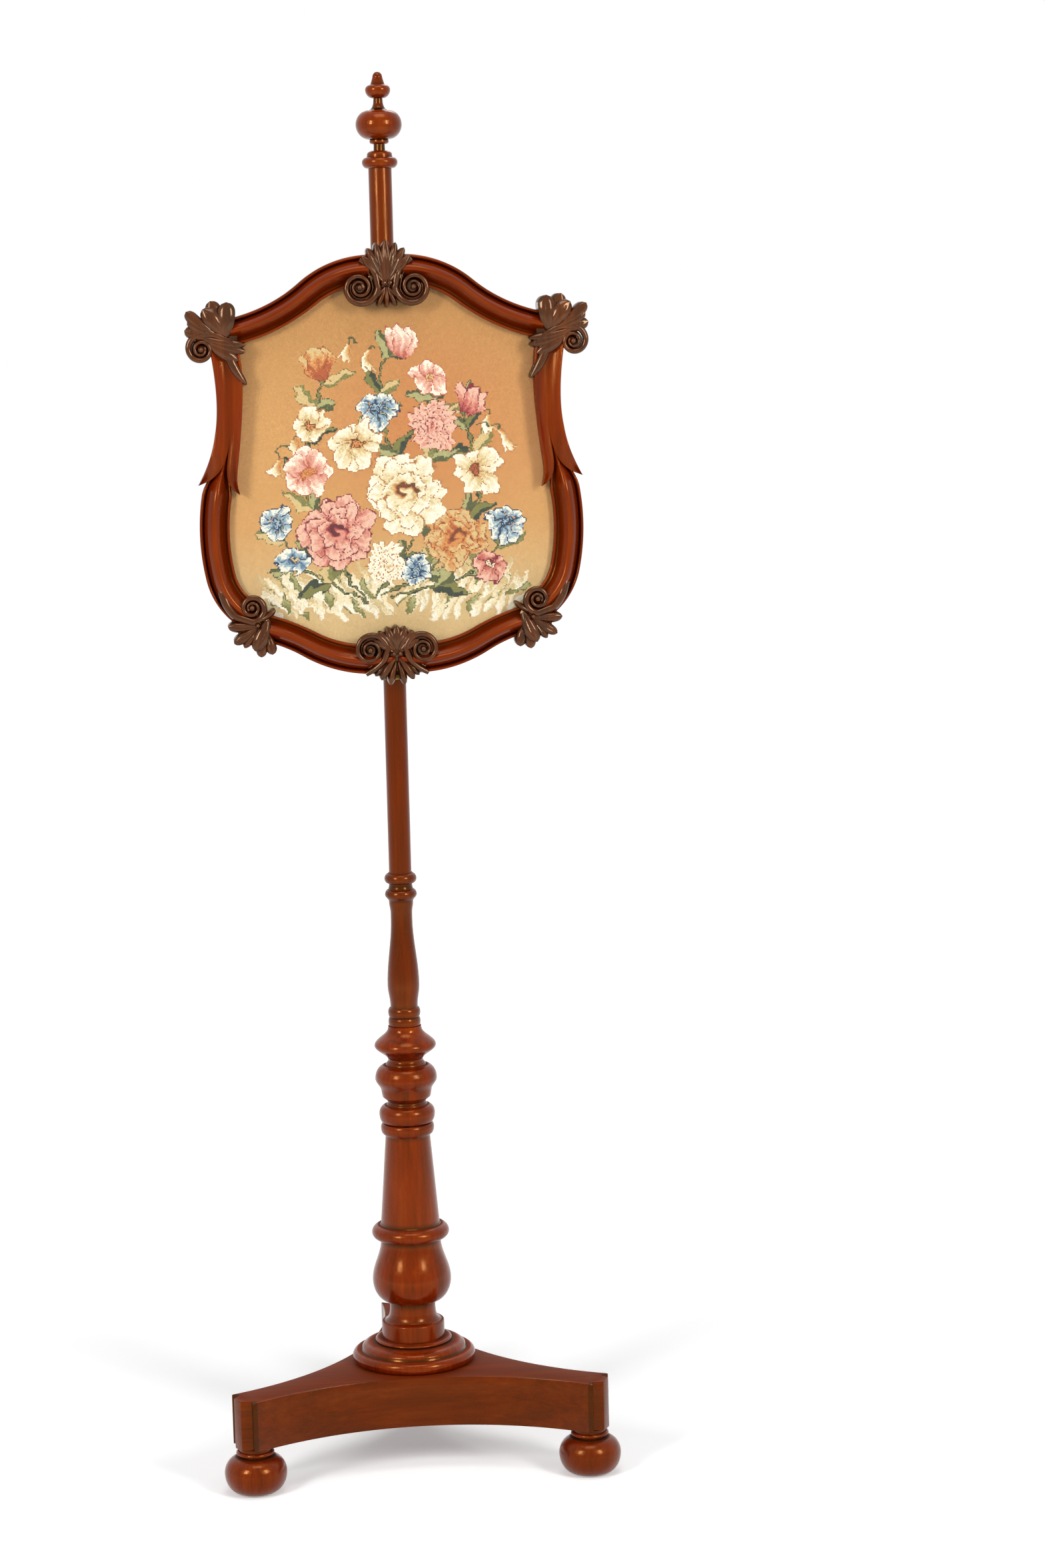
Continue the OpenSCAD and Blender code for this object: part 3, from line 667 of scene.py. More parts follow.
@dataclass(frozen=True)
class WoolFinish:
    """Wool tent stitch: the worked colour of each stitch, with slanting yarn and painted shade in the gaps
    between stitches.
    """

    name: str = "wool_canvas_finish"
    pitch: float = 1.2 * MM

    def material(self, _: ShaderGroups) -> Material:
        """Builds the finish, without the shared groups.

        Args:
            _: Not used.

        Returns:
            The material.
        """
        material, t, shader = fresh_material(self.name)
        colour = t.add("ShaderNodeAttribute", attribute_name="wool").outputs["Color"]
        place = t.add("ShaderNodeTexCoord").outputs["Object"]
        parts = t.parts(place)
        across, up = (t.math("FRACT", t.math("DIVIDE", parts[k], self.pitch)) for k in (0, 2))
        slant = t.math("ABSOLUTE", t.math("SUBTRACT", across, up))
        gap = t.math("MINIMUM", slant, t.math("SUBTRACT", 1.0, slant))
        yarn = t.math("SUBTRACT", 1.0, t.math("MULTIPLY", gap, 1.6))
        fuzz = t.spread(t.noise(place, 900.0, 3.0), 0.3, 0.7, 0.9, 1.1)
        # Painted shade: the colour darkens in the gaps between the slanting stitches; the fuzz is random
        # tone.
        shade = t.math("MULTIPLY", t.spread(yarn, 0.2, 1.0, 0.78, 1.08), fuzz)
        t.feed(shader, {
            "Base Color": t.first("ShaderNodeVectorMath", {0: colour, "Scale": shade}, operation="SCALE"),
            "Normal": t.bump(yarn, 0.5, 0.0005), "Roughness": 0.9, "Sheen Weight": 0.1})
        return material


@dataclass
class Workshop:
    """The trees and finishes that every sub-assembly uses."""

    trees: GeometryTrees = field(default_factory=GeometryTrees)
    groups: ShaderGroups = field(default_factory=ShaderGroups)
    finishes: dict[Slot, Material] = field(default_factory=dict)

    def __post_init__(self) -> None:
        """Builds each finish once."""
        polished = WoodFinish("polished_mahogany_finish", "4a1000", "741d00", "8c3200", scuffs=0.25)
        carved = WoodFinish("carved_mahogany_finish", "200700", "421600", "5e2905", gloss="ffc488",
                            roughness=0.13, coat=0.25, painted_shade_depth=0.97)
        plain = (BrassFinish(), LeatherFinish(), BoardFinish(), GlassFinish(), WoolFinish())
        for slot, finish in zip(Slot, (polished, carved, *plain)):
            self.finishes[slot] = finish.material(self.groups)

    def shape(self, tree: Tree, seed: Mesh, slot: Slot, **inputs: object) -> Mesh:
        """Shapes a seed mesh with a tree, in a finish."""
        return self.trees.run(tree, seed, {**inputs, "Material": self.finishes[slot]})

    def place(self, name: str, mesh: Mesh, body: Body, slot: Slot, nodes: Sequence[str],
              sharp: float = 40.0) -> None:
        """Puts a finished mesh on a body in place of its solids.

        Args:
            name: Name of the piece.
            mesh: Its mesh, in metres and in place.
            body: The body that carries it.
            slot: Its finish.
            nodes: The solids that it stands for.
            sharp: Angle in degrees past which an edge stays sharp.
        """
        shell = bmesh.new()
        shell.from_mesh(mesh)
        bmesh.ops.recalc_face_normals(shell, faces=shell.faces)
        shell.to_mesh(mesh)
        shell.free()
        mesh.polygons.foreach_set("use_smooth", [True] * len(mesh.polygons))
        mesh.set_sharp_from_angle(angle=radians(sharp))
        mesh.materials.clear()
        mesh.materials.append(self.finishes[slot])
        obj = add_object(name, mesh)
        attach(obj, body.value)
        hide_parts(*nodes)
        LOG.info("%s: %d faces", name, len(mesh.polygons))

    def dress(self, node: str, slot: Slot) -> None:
        """Gives a solid its finish and keeps its shape.

        Args:
            node: The solid's node.
            slot: Its finish.
        """
        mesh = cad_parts[node].data
        mesh.materials.clear()
        mesh.materials.append(self.finishes[slot])
        LOG.info("%s: dressed", node)


def store_values(mesh: Mesh, name: str, values: Array) -> None:
    """Stores a number or a vector of each point under a name.

    Args:
        mesh: The mesh.
        name: Name of the layer.
        values: One row for each point.
    """
    wide = np.ndim(values) == 2
    layer = mesh.attributes.get(name) or mesh.attributes.new(name, VECTOR if wide else "FLOAT", "POINT")
    layer.data.foreach_set("vector" if wide else "value", np.ascontiguousarray(values, float).ravel())


def store_grain(mesh: Mesh, order: Sequence[int] = (2, 0, 1)) -> None:
    """Stores each point's place along, across and through the grain, by the order of the axes.

    Args:
        mesh: The mesh.
        order: Numbers of the three axes.
    """
    places = np.empty(len(mesh.vertices) * 3)
    mesh.vertices.foreach_get("co", places)
    store_values(mesh, "grain_at", places.reshape(-1, 3)[:, list(order)])


def seed_mesh(points: Array, edges: Sequence[tuple[int, int]] = (), **layers: Array) -> Mesh:
    """Makes the mesh of points that a geometry tree starts from.

    Args:
        points: Places in metres.
        edges: Pairs of point numbers.
        layers: Values of each point by name, single numbers or vectors.

    Returns:
        The mesh.
    """
    mesh = new_mesh("seed", points, [], edges)
    for name, values in layers.items():
        store_values(mesh, name, values)
    return mesh


Step = tuple[float, float, Run]
L, W, R, C = Run.LINE, Run.WAVE, Run.ROUND, Run.CUP


@dataclass(frozen=True)
class Turning:
    """A turned piece: steps of height, radius and the shape of the run to the next step."""

    node: str
    base: tuple[float, float, float]
    steps: tuple[Step, ...]
    tone: float = 1.0
    body: Body = Body.STAND
    turns: int = 96
    points: int = 10
    reach: float = 5.0
    fine: float = 0.25

    def profile(self) -> list[Point]:
        """Points (radius, height) from the bottom of the axis to its top.

        Returns:
            The points, in order.
        """
        line: list[Point] = [(0.0, self.steps[0][0])]
        for (z0, r0, run), (z1, r1, _) in zip(self.steps, self.steps[1:]):
            dz, dr = z1 - z0, r1 - r0
            count = max(1, round(dz / 5)) if run is Run.LINE else self.points
            for k in range(count):
                t = k / count
                quarter = pi / 2 * t
                line.append({
                    Run.LINE: (r0 + dr * t, z0 + dz * t),
                    Run.WAVE: (r0 + dr * (1 - cos(pi * t)) / 2, z0 + dz * t),
                    Run.ROUND: (r0 + dr * (1 - cos(quarter)), z0 + dz * sin(quarter)),
                    Run.CUP: (r0 + dr * sin(quarter), z0 + dz * (1 - cos(quarter))),
                }[run])
        return line + [(self.steps[-1][1], self.steps[-1][0]), (0.0, self.steps[-1][0])]

    def groove_shade_and_tone(self, profile: list[Point]) -> Array:
        """Painted shade and tone of each point (radius, height) of a profile: the tone in the open and darker
        in a groove.

        Args:
            profile: Points (radius, height).

        Returns:
            One number for each point.
        """
        r, z = np.array(profile).T
        fine = np.arange(z[0], z[-1], self.fine)
        line = np.interp(fine, z[1:-1], r[1:-1])
        wide = int(2 * self.reach / self.fine) + 1
        padded = np.pad(line, wide // 2, mode="reflect", reflect_type="odd")
        mean = np.convolve(padded, np.ones(wide) / wide, mode="valid")
        # Painted shade: darker where the radius sinks below its local mean, as in a groove.
        below = np.maximum(0.0, np.interp(z, fine, mean) - r)
        return np.clip(self.tone - 0.34 * below, 0.12, 1.0)

    def build(self, shop: Workshop) -> None:
        """Turns the piece and puts it in place of its solid.

        Args:
            shop: Trees and finishes.
        """
        profile = self.profile()
        points = np.array([(r, 0.0, z) for r, z in profile]) * MM
        seed = seed_mesh(points, opened=self.groove_shade_and_tone(profile))
        mesh = shop.shape(shop.trees.turned, seed, Slot.POLISHED, Turns=self.turns)
        mesh.transform(Matrix.Translation(Vector(self.base) * MM))
        store_grain(mesh)
        shop.place(f"turned_{self.node}", mesh, self.body, Slot.POLISHED, (self.node,), sharp=32.0)


@dataclass
class Stand:
    """Feet, platform, turned column, stem, pole and finial."""

    foot_h: float = 50.0
    foot_r: float = 208.6
    platform_t: float = 55.0
    tip_r: float = 229.0
    tip_end_w: float = 14.0
    tip_face: float = 12.5
    tip_step: float = 9.5
    waist_r: float = 72.0
    ring_h: float = 24.0
    column_h: float = 351.0
    stem_h: float = 169.0
    pole_r: float = 12.25
    pole_len: float = 751.0
    edge: float = 1.2
    tone: float = 0.56

    def build(self, shop: Workshop) -> None:
        """Builds every piece of the stand, from the floor up.

        Args:
            shop: Trees and finishes.
        """
        for name, angle in (("back", 90), ("left", 210), ("right", 330)):
            a = radians(angle)
            Turning(f"foot_{name}", (self.foot_r * cos(a), self.foot_r * sin(a), 0.0), (
                (0, 16, C), (1, 18.5, C), (22, 33.5, R), (40, 17.5, L), (41.5, 17.5, C), (44, 20.5, R),
                (46.5, 17.5, L), (50, 17.5, L)), 0.78).build(shop)
        self._platform(shop)
        ring = (
            (0, 63, C), (6.5, 67.5, R), (13, 61, L), (13.2, 58, L), (15, 57, R), (22, 43, L), (22.2, 41.2, C),
            (24, 42, R), (26.5, 35.5, L))
        column = (
            (0, 34.3, L), (19, 34.3, R), (20.5, 33, C), (33, 25.2, L), (36, 24.9, L), (43, 25.2, C),
            (68, 43.2, W), (112, 32.9, L), (113, 32.9, C), (121, 42.5, R), (129.5, 33.2, L), (130.5, 32.3, L),
            (229, 24.5, L), (230.5, 25.4, C), (238, 29.3, R), (243.5, 25.8, C), (254, 30.6, R),
            (263.5, 22.5, W), (267, 20.8, W), (273.5, 26.6, L), (279, 27.6, W), (293, 33.9, R), (308, 22, W),
            (313.5, 19.2, W), (329.5, 33.8, W), (348.5, 18.5, L), (351, 18, L))
        stem = (
            (0, 16.4, C), (4.5, 17.7, R), (9.5, 15.9, L), (10, 15.9, C), (15, 17.7, R), (20.5, 15, L),
            (22.5, 15, W), (45, 17.5, W), (118, 11.8, L), (124, 11.8, W), (137, 13.2, W), (144.8, 17.4, R),
            (150.5, 13.5, W), (155, 12.7, L), (157, 12.8, C), (162.3, 17.5, R), (168, 13.2, L),
            (169, 13.1, L))
        pole = tuple((z, self.pole_r, L) for z in (0, 250, 500, self.pole_len))
        finial = (
            (-34, 5, L), (-0.1, 5, L), (0, 13, C), (6.5, 18.8, R), (11.5, 13.6, L), (14.5, 13.2, R),
            (18.5, 6.1, L), (25, 5.9, C), (27.5, 10.1, R), (30, 9.6, C), (45.5, 24.3, R), (60, 11.4, C),
            (70, 5, L), (72.5, 4.7, C), (81.5, 13.2, R), (86.5, 7.6, L), (94, 5.3, R), (100, 0.4, L))
        z = self.foot_h + self.platform_t
        for node, steps, tone, height in (
                ("base_ring", ring, 1.0, self.ring_h), ("column", column, 1.0, self.column_h),
                ("stem", stem, 0.56, self.stem_h), ("pole", pole, 0.62, self.pole_len)):
            Turning(node, (0, 0, z), steps, tone).build(shop)
            z += height
        Turning("finial", (0, 0, z), finial, 0.8, Body.FINIAL).build(shop)
        shop.dress("tenon_wedge", Slot.PALE_WOOD)

    def _outline(self) -> list[Point]:
        """The platform's outline: three canted tips, stepped into hollow sides.

        Returns:
            The points, in order.
        """
        cos30, sin30 = cos(pi / 6), sin(pi / 6)
        tip = (self.tip_r - cos30 * self.tip_face, self.tip_end_w / 2 + sin30 * self.tip_face)
        side = (tip[0] + self.tip_step * sin30, tip[1] + self.tip_step * cos30)
        chord = side[0] * sin30 + side[1] * cos30
        half = side[0] * cos30 - side[1] * sin30
        hollow = chord - self.waist_r
        radius = (half * half + hollow * hollow) / (2 * hollow)
        swing = asin(half / radius)
        points: list[Point] = []
        end, centre = self.tip_end_w / 2, self.waist_r + radius
        corners = ((tip[0], -tip[1]), (self.tip_r, -end), (self.tip_r, end), tip)
        angles = np.linspace(swing, -swing, 61)
        curve = tuple((centre - radius * cos(a), -radius * sin(a)) for a in angles)
        for turn in (90, 210, 330):
            for line, heading in ((corners, turn), (curve, turn + 60)):
                points += [tuple(x * left_of(heading - 90) + y * left_of(heading)) for x, y in line]
        return points

    def _steps(self) -> list[Point]:
        """Middle of each step beside a tip.

        Returns:
            The middles.
        """
        points = self._outline()
        starts = range(0, len(points), len(points) // 3)
        pairs = [(k + 3, k + 4) for k in starts] + [(k, k - 1) for k in starts]
        return [((points[a][0] + points[b][0]) / 2, (points[a][1] + points[b][1]) / 2) for a, b in pairs]

    def _platform(self, shop: Workshop) -> None:
        """The platform, with its edges eased.

        Args:
            shop: Trees and finishes.
        """
        shell = bmesh.new()
        ring = [shell.verts.new((x * MM, y * MM, self.foot_h * MM)) for x, y in self._outline()]
        floor = shell.faces.new(ring)
        grown = bmesh.ops.extrude_face_region(shell, geom=[floor])
        lifted = [g for g in grown["geom"] if isinstance(g, bmesh.types.BMVert)]
        bmesh.ops.translate(shell, verts=lifted, vec=(0, 0, self.platform_t * MM))
        bmesh.ops.recalc_face_normals(shell, faces=shell.faces)
        sharp = [e for e in shell.edges if e.calc_face_angle(0.0) > radians(20)]
        bmesh.ops.bevel(shell, geom=sharp, offset=self.edge * MM, segments=2, affect="EDGES", profile=0.5)
        bmesh.ops.triangulate(shell, faces=[f for f in shell.faces if len(f.verts) > 8])
        mesh = bpy.data.meshes.new("platform_top")
        shell.to_mesh(mesh)
        shell.free()
        store_grain(mesh, (0, 1, 2))
        # Painted shade: faces in the notch beside each tip get a dark value; the rest keep the platform's
        # tone.
        steps = self._steps()
        layer = mesh.attributes.new("opened", "FLOAT", "FACE")
        for face in mesh.polygons:
            near = min(hypot(face.center[0] / MM - x, face.center[1] / MM - y) for x, y in steps)
            layer.data[face.index].value = 0.2 if near < 0.6 * self.tip_step else self.tone
        shop.place("eased_platform", mesh, Body.STAND, Slot.POLISHED, ("platform",), sharp=30.0)


def left_of(heading: float) -> Array:
    """Direction to the left of a heading in degrees."""
    a = radians(heading)
    return np.array((-sin(a), cos(a)))


@dataclass(frozen=True)
class FrameLine:
    """Middle line of a moulded member of the right half: radius and angle of each bend."""

    start: Point
    heading: float
    bends: tuple[tuple[float, float], ...]

    def stations(self, before: float = 0.0, beyond: float = 0.0, step: float = 1.5) -> list[Station]:
        """Places along the line.

        Args:
            before: Straight length added in front of its start.
            beyond: Straight length added after its end.
            step: Degrees between places.

        Returns:
            Place, heading and distance of each.
        """
        place, heading, run = np.array(self.start), self.heading, 0.0
        made = []
        if before:
            ahead = max(2, round(before / 3))
            for k in range(ahead):
                back = before * (1 - k / ahead)
                made.append((place - back * left_of(heading - 90), heading, -back))
        made.append((place, heading, run))
        for radius, angle in self.bends:
            count = max(1, round(abs(angle) / step))
            way = copysign(radius, angle)
            centre, first = place + way * left_of(heading), heading
            length = radius * radians(abs(angle))
            for k in range(1, count + 1):
                heading = first + angle * k / count
                place = centre - way * left_of(heading)
                made.append((place, heading, run + length * k / count))
            run += length
        if beyond:
            made.append((place + beyond * left_of(heading - 90), heading, run + beyond))
        return made


STILE_R = 220.0
STILE_LEAN = radians(16)
TOP_LINE = FrameLine((18.0, 204.0), 0.0, ((101.0, -39.0), (190.0, 26.0)))
STILE_LINE = FrameLine((187.5 + STILE_R * (cos(STILE_LEAN) - 1), -67.0 + STILE_R * sin(STILE_LEAN)),
                       -74.0, ((STILE_R, -28.0), (65.0, -38.0)))
BOTTOM_LINE = FrameLine((18.0, -204.6), -3.0, ((132.0, 33.0), (200.0, -14.0)))


def on_plane(x: float, y: float, height: float) -> tuple[float, float, float]:
    """Place in metres of a point of the screen's plane at a height above its back."""
    return (x * MM, -(FRAME_BACK + height) * MM, (SCREEN_Z + y) * MM)


@dataclass
class Moulding:
    """Section of the frame: an outer bead, a hollow, a broad crown, a slope and a bead at the sight edge."""

    width: float
    edge_v: float = 15.0
    bead_w: float = 3.4
    bead_v: float = 2.6
    quirk: float = 1.6
    crown_at: float = 0.46
    sight_v: float = 13.0
    tone: float = 0.86
    # Painted shade of the rebate and back faces.
    hidden_shade: float = 0.4

    def section(self) -> Array:
        """Points (share of the width, height in metres, painted shade and tone), once round and back to the
        first.

        Returns:
            One row for each point.
        """
        w, bead = self.width, self.bead_w
        crown, lap, hidden_shade = self.crown_at * w, w - REBATE_LAP, self.hidden_shade
        foot, low = bead + 0.9, self.edge_v - self.quirk
        inner, sight = w - bead - 0.6, self.sight_v - 0.6
        # The third value is painted shade: dark in the quirk after the outer bead, darkening down the slope
        # to the sight bead and on that bead's near side, low on the rebate and back; all scaled by the tone.
        line = [(0.0, 0.0, hidden_shade)]
        for k in range(9):
            a = pi * k / 8
            line.append((bead * (1 - cos(a)) / 2, self.edge_v + self.bead_v * sin(a),
                         1.0 if k < 6 else 0.55))
        line.append((foot, low, 0.1))
        for t in np.arange(1, 13) / 12:
            rise = sin(pi / 2 * t)
            line.append((foot + (crown - foot) * t, low + (FRAME_T - low) * rise, min(1.0, 0.25 + 2.6 * t)))
        for t in np.arange(1, 13) / 12:
            fall = (1 + cos(pi * t)) / 2
            shade = 1.0 - 0.85 * max(0.0, t - 0.25)
            line.append((crown + (inner - crown) * t, sight + (FRAME_T - sight) * fall, shade))
        for k in range(9):
            a = pi * k / 8
            line.append((w - bead * (1 + cos(a)) / 2, self.sight_v + self.bead_v * sin(a),
                         0.45 if k < 2 else 0.95))
        line += [(u, v, hidden_shade) for u, v in ((w, REBATE_T), (lap, REBATE_T), (lap, 0.0), (0.0, 0.0))]
        return np.array([(u / w, v * MM, o * self.tone) for u, v, o in line])

    def sweep(self, shop: Workshop, line: FrameLine, outer: int, side: int, before: float, beyond: float,
              size_at: Callable[[float], float]) -> Mesh:
        """Carries the section along a line.

        Args:
            shop: Trees and finishes.
            line: The member's middle line.
            outer: 1 where its outer edge is to the left of the line, else -1.
            side: 1 for the right half, -1 for the left.
            before: Straight length in front of the line.
            beyond: Straight length after it.
            size_at: Size of the section at a distance along the line.

        Returns:
            The member's mesh.
        """
        stations = line.stations(before, beyond)
        stations = [stations[0], *stations, stations[-1]]
        edges, across = [], []
        for place, heading, _ in stations:
            left = left_of(heading) * outer
            edge = place + left * self.width / 2
            edges.append(on_plane(side * edge[0], edge[1], 0.0))
            across.append((-side * left[0] * self.width * MM, 0.0, -left[1] * self.width * MM))
        section = self.section()
        blank = np.zeros((len(section), 3))
        swell = np.array([size_at(s[2]) for s in stations])
        swell[0] = swell[-1] = 0.0
        seed = seed_mesh(np.vstack([edges, section]), across=np.vstack([across, blank]),
                         swell=np.concatenate([swell, blank[:, 0]]),
                         along=np.concatenate([[s[2] * MM for s in stations], blank[:, 0]]))
        return shop.shape(shop.trees.moulded, seed, Slot.POLISHED, Stations=len(stations),
                          Middle=FRAME_T * 0.3 * MM)


@dataclass(frozen=True)
class Leaf:
    """One carved leaf or lobe in the screen's plane, from its root to its tip."""

    root: Point
    tip: Point
    width: float
    bend: float = 0.0
    low: float = 24.0
    high: float = 28.0
    end: float = 24.0
    belly: float = 3.5
    vein: float = 1.2
    waist: float = 0.35
    peak: float = 0.66
    back: float = 3.0

    def surface(self, along: int = 24, across: int = 12) -> Shell:
        """The leaf as a closed shell.

        Args:
            along: Steps from root to tip.
            across: Steps from edge to edge.

        Returns:
            Points (x, y, height), faces, and the painted shade of each point.
        """
        root, tip = np.array(self.root), np.array(self.tip)
        chord = tip - root
        middle = (root + tip) / 2 + np.array((-chord[1], chord[0])) * self.bend
        t = np.linspace(0.0, 1.0, along + 1)
        line = np.outer((1 - t) ** 2, root) + np.outer(2 * t * (1 - t), middle) + np.outer(t ** 2, tip)
        way = np.outer(2 * (1 - t), middle - root) + np.outer(2 * t, tip - middle)
        way /= np.linalg.norm(way, axis=1)[:, None]
        normal = np.stack([-way[:, 1], way[:, 0]], axis=1)
        peak = self.peak
        swell = np.where(t < peak, self.waist + (1 - self.waist) * np.sin(np.pi / 2 * t / peak),
                         np.sqrt(np.maximum(0.0, 1 - ((t - peak) / (1 - peak)) ** 2)))
        height = self.low + (self.high - self.low) * np.sin(np.pi / 2 * np.minimum(1, t / 0.6))
        height += (self.end - self.high) * np.maximum(0, (t - 0.6) / 0.4) ** 2
        s = np.linspace(-1.0, 1.0, across + 1)
        half = swell * self.width / 2
        flat = line[:, None, :] + normal[:, None, :] * half[:, None, None] * s[None, :, None]
        groove = np.exp(-(s / 0.25) ** 2)[None, :] * np.sin(np.pi * t)[:, None]
        top = height[:, None] - self.belly * (s ** 2)[None, :] * np.sqrt(swell)[:, None] - self.vein * groove
        # Painted shade towards the leaf's edges and along its vein groove.
        opened = 1.0 - 0.55 * (np.abs(s) ** 4)[None, :] * np.ones_like(top) - 0.3 * groove * (self.vein > 0)
        return closed_sheet(flat, top, self.back, opened)


def closed_sheet(flat: Array, top: Array, back: float, opened: Array) -> Shell:
    """Closes a grid of points into a shell with a flat back.

    Args:
        flat: Points (x, y) in rows and columns.
        top: Height of each.
        back: Height of the back.
        opened: Painted shade of each point, 0 in a recess and 1 on top.

    Returns:
        Points (x, y, height), faces, and the painted shade of each point.
    """
    upper = np.concatenate([flat, top[:, :, None]], axis=2).reshape(-1, 3)
    lower = np.column_stack([upper[:, :2], np.full(len(upper), back)])
    count = len(upper)
    number = np.arange(count).reshape(top.shape)
    corners = (number[:-1, :-1], number[:-1, 1:], number[1:, 1:], number[1:, :-1])
    front = np.stack(corners, axis=-1).reshape(-1, 4)
    rim = np.concatenate([number[:-1, 0], number[-1, :-1], number[:0:-1, -1], number[0, :0:-1]])
    ahead = np.roll(rim, -1)
    sides = np.column_stack([rim, ahead, ahead + count, rim + count])
    faces = np.vstack([front, front[:, ::-1] + count, sides]).tolist()
    # The back points get a middling painted shade.
    return np.vstack([upper, lower]), faces, np.concatenate([opened.ravel(), np.full(count, 0.45)])


def smooth_line(points: Sequence[Point], per_span: int = 8) -> Array:
    """Points of a smooth curve through the given ones.

    Args:
        points: The points.
        per_span: Steps between two points.

    Returns:
        The curve's points.
    """
    p = np.array([points[0], *points, points[-1]], float)
    t = np.linspace(0.0, 1.0, per_span, endpoint=False)[:, None]
    made = []
    for a, b, c, d in zip(p, p[1:], p[2:], p[3:]):
        square, cube = 2 * a - 5 * b + 4 * c - d, 3 * b - a - 3 * c + d
        made.append(0.5 * (2 * b + (c - a) * t + square * t ** 2 + cube * t ** 3))
    return np.vstack([*made, p[-1:]])


def even_line(line: Array, count: int) -> Array:
    """The given number of points, evenly spaced along a line.

    Args:
        line: The line's points.
        count: How many points.

    Returns:
        The spaced points.
    """
    run = np.concatenate([[0.0], np.cumsum(np.hypot(*np.diff(line, axis=0).T))])
    at = np.linspace(0.0, run[-1], count)
    return np.column_stack([np.interp(at, run, line[:, 0]), np.interp(at, run, line[:, 1])])


@dataclass(frozen=True)
class Scroll:
    """A volute: a band that comes in along its lead and winds into an eye, half as wide after each turn."""

    centre: Point
    reach: float
    start: float
    turn: int
    lead: tuple[Point, ...] = ()
    lead_girth: float = 2.6
    low: float = 21.5
    turns: float = 1.85
    share: float = 0.2

    def path(self) -> tuple[Array, Array, Array]:
        """The band's line, the height of its middle and its radius.

        Returns:
            Line, heights and radii.
        """
        k = np.linspace(0.0, 1.0, 81)
        around = 360 * self.turns * k
        radius = self.reach * 2.0 ** (-around / 360)
        angle = np.radians(self.start + self.turn * around)
        coil = self.centre + np.column_stack([radius * np.cos(angle), radius * np.sin(angle)])
        girth = np.maximum(radius * self.share, 1.0)
        rise = 24.0 + 3.0 * k
        if not self.lead:
            return coil, rise, girth
        ahead = smooth_line([*self.lead, tuple(coil[0]), tuple(coil[4])])[:-16]
        n = len(ahead)
        return (np.vstack([ahead, coil]), np.concatenate([np.linspace(self.low, 24.0, n), rise]),
                np.concatenate([np.linspace(self.lead_girth, girth[0], n), girth]))


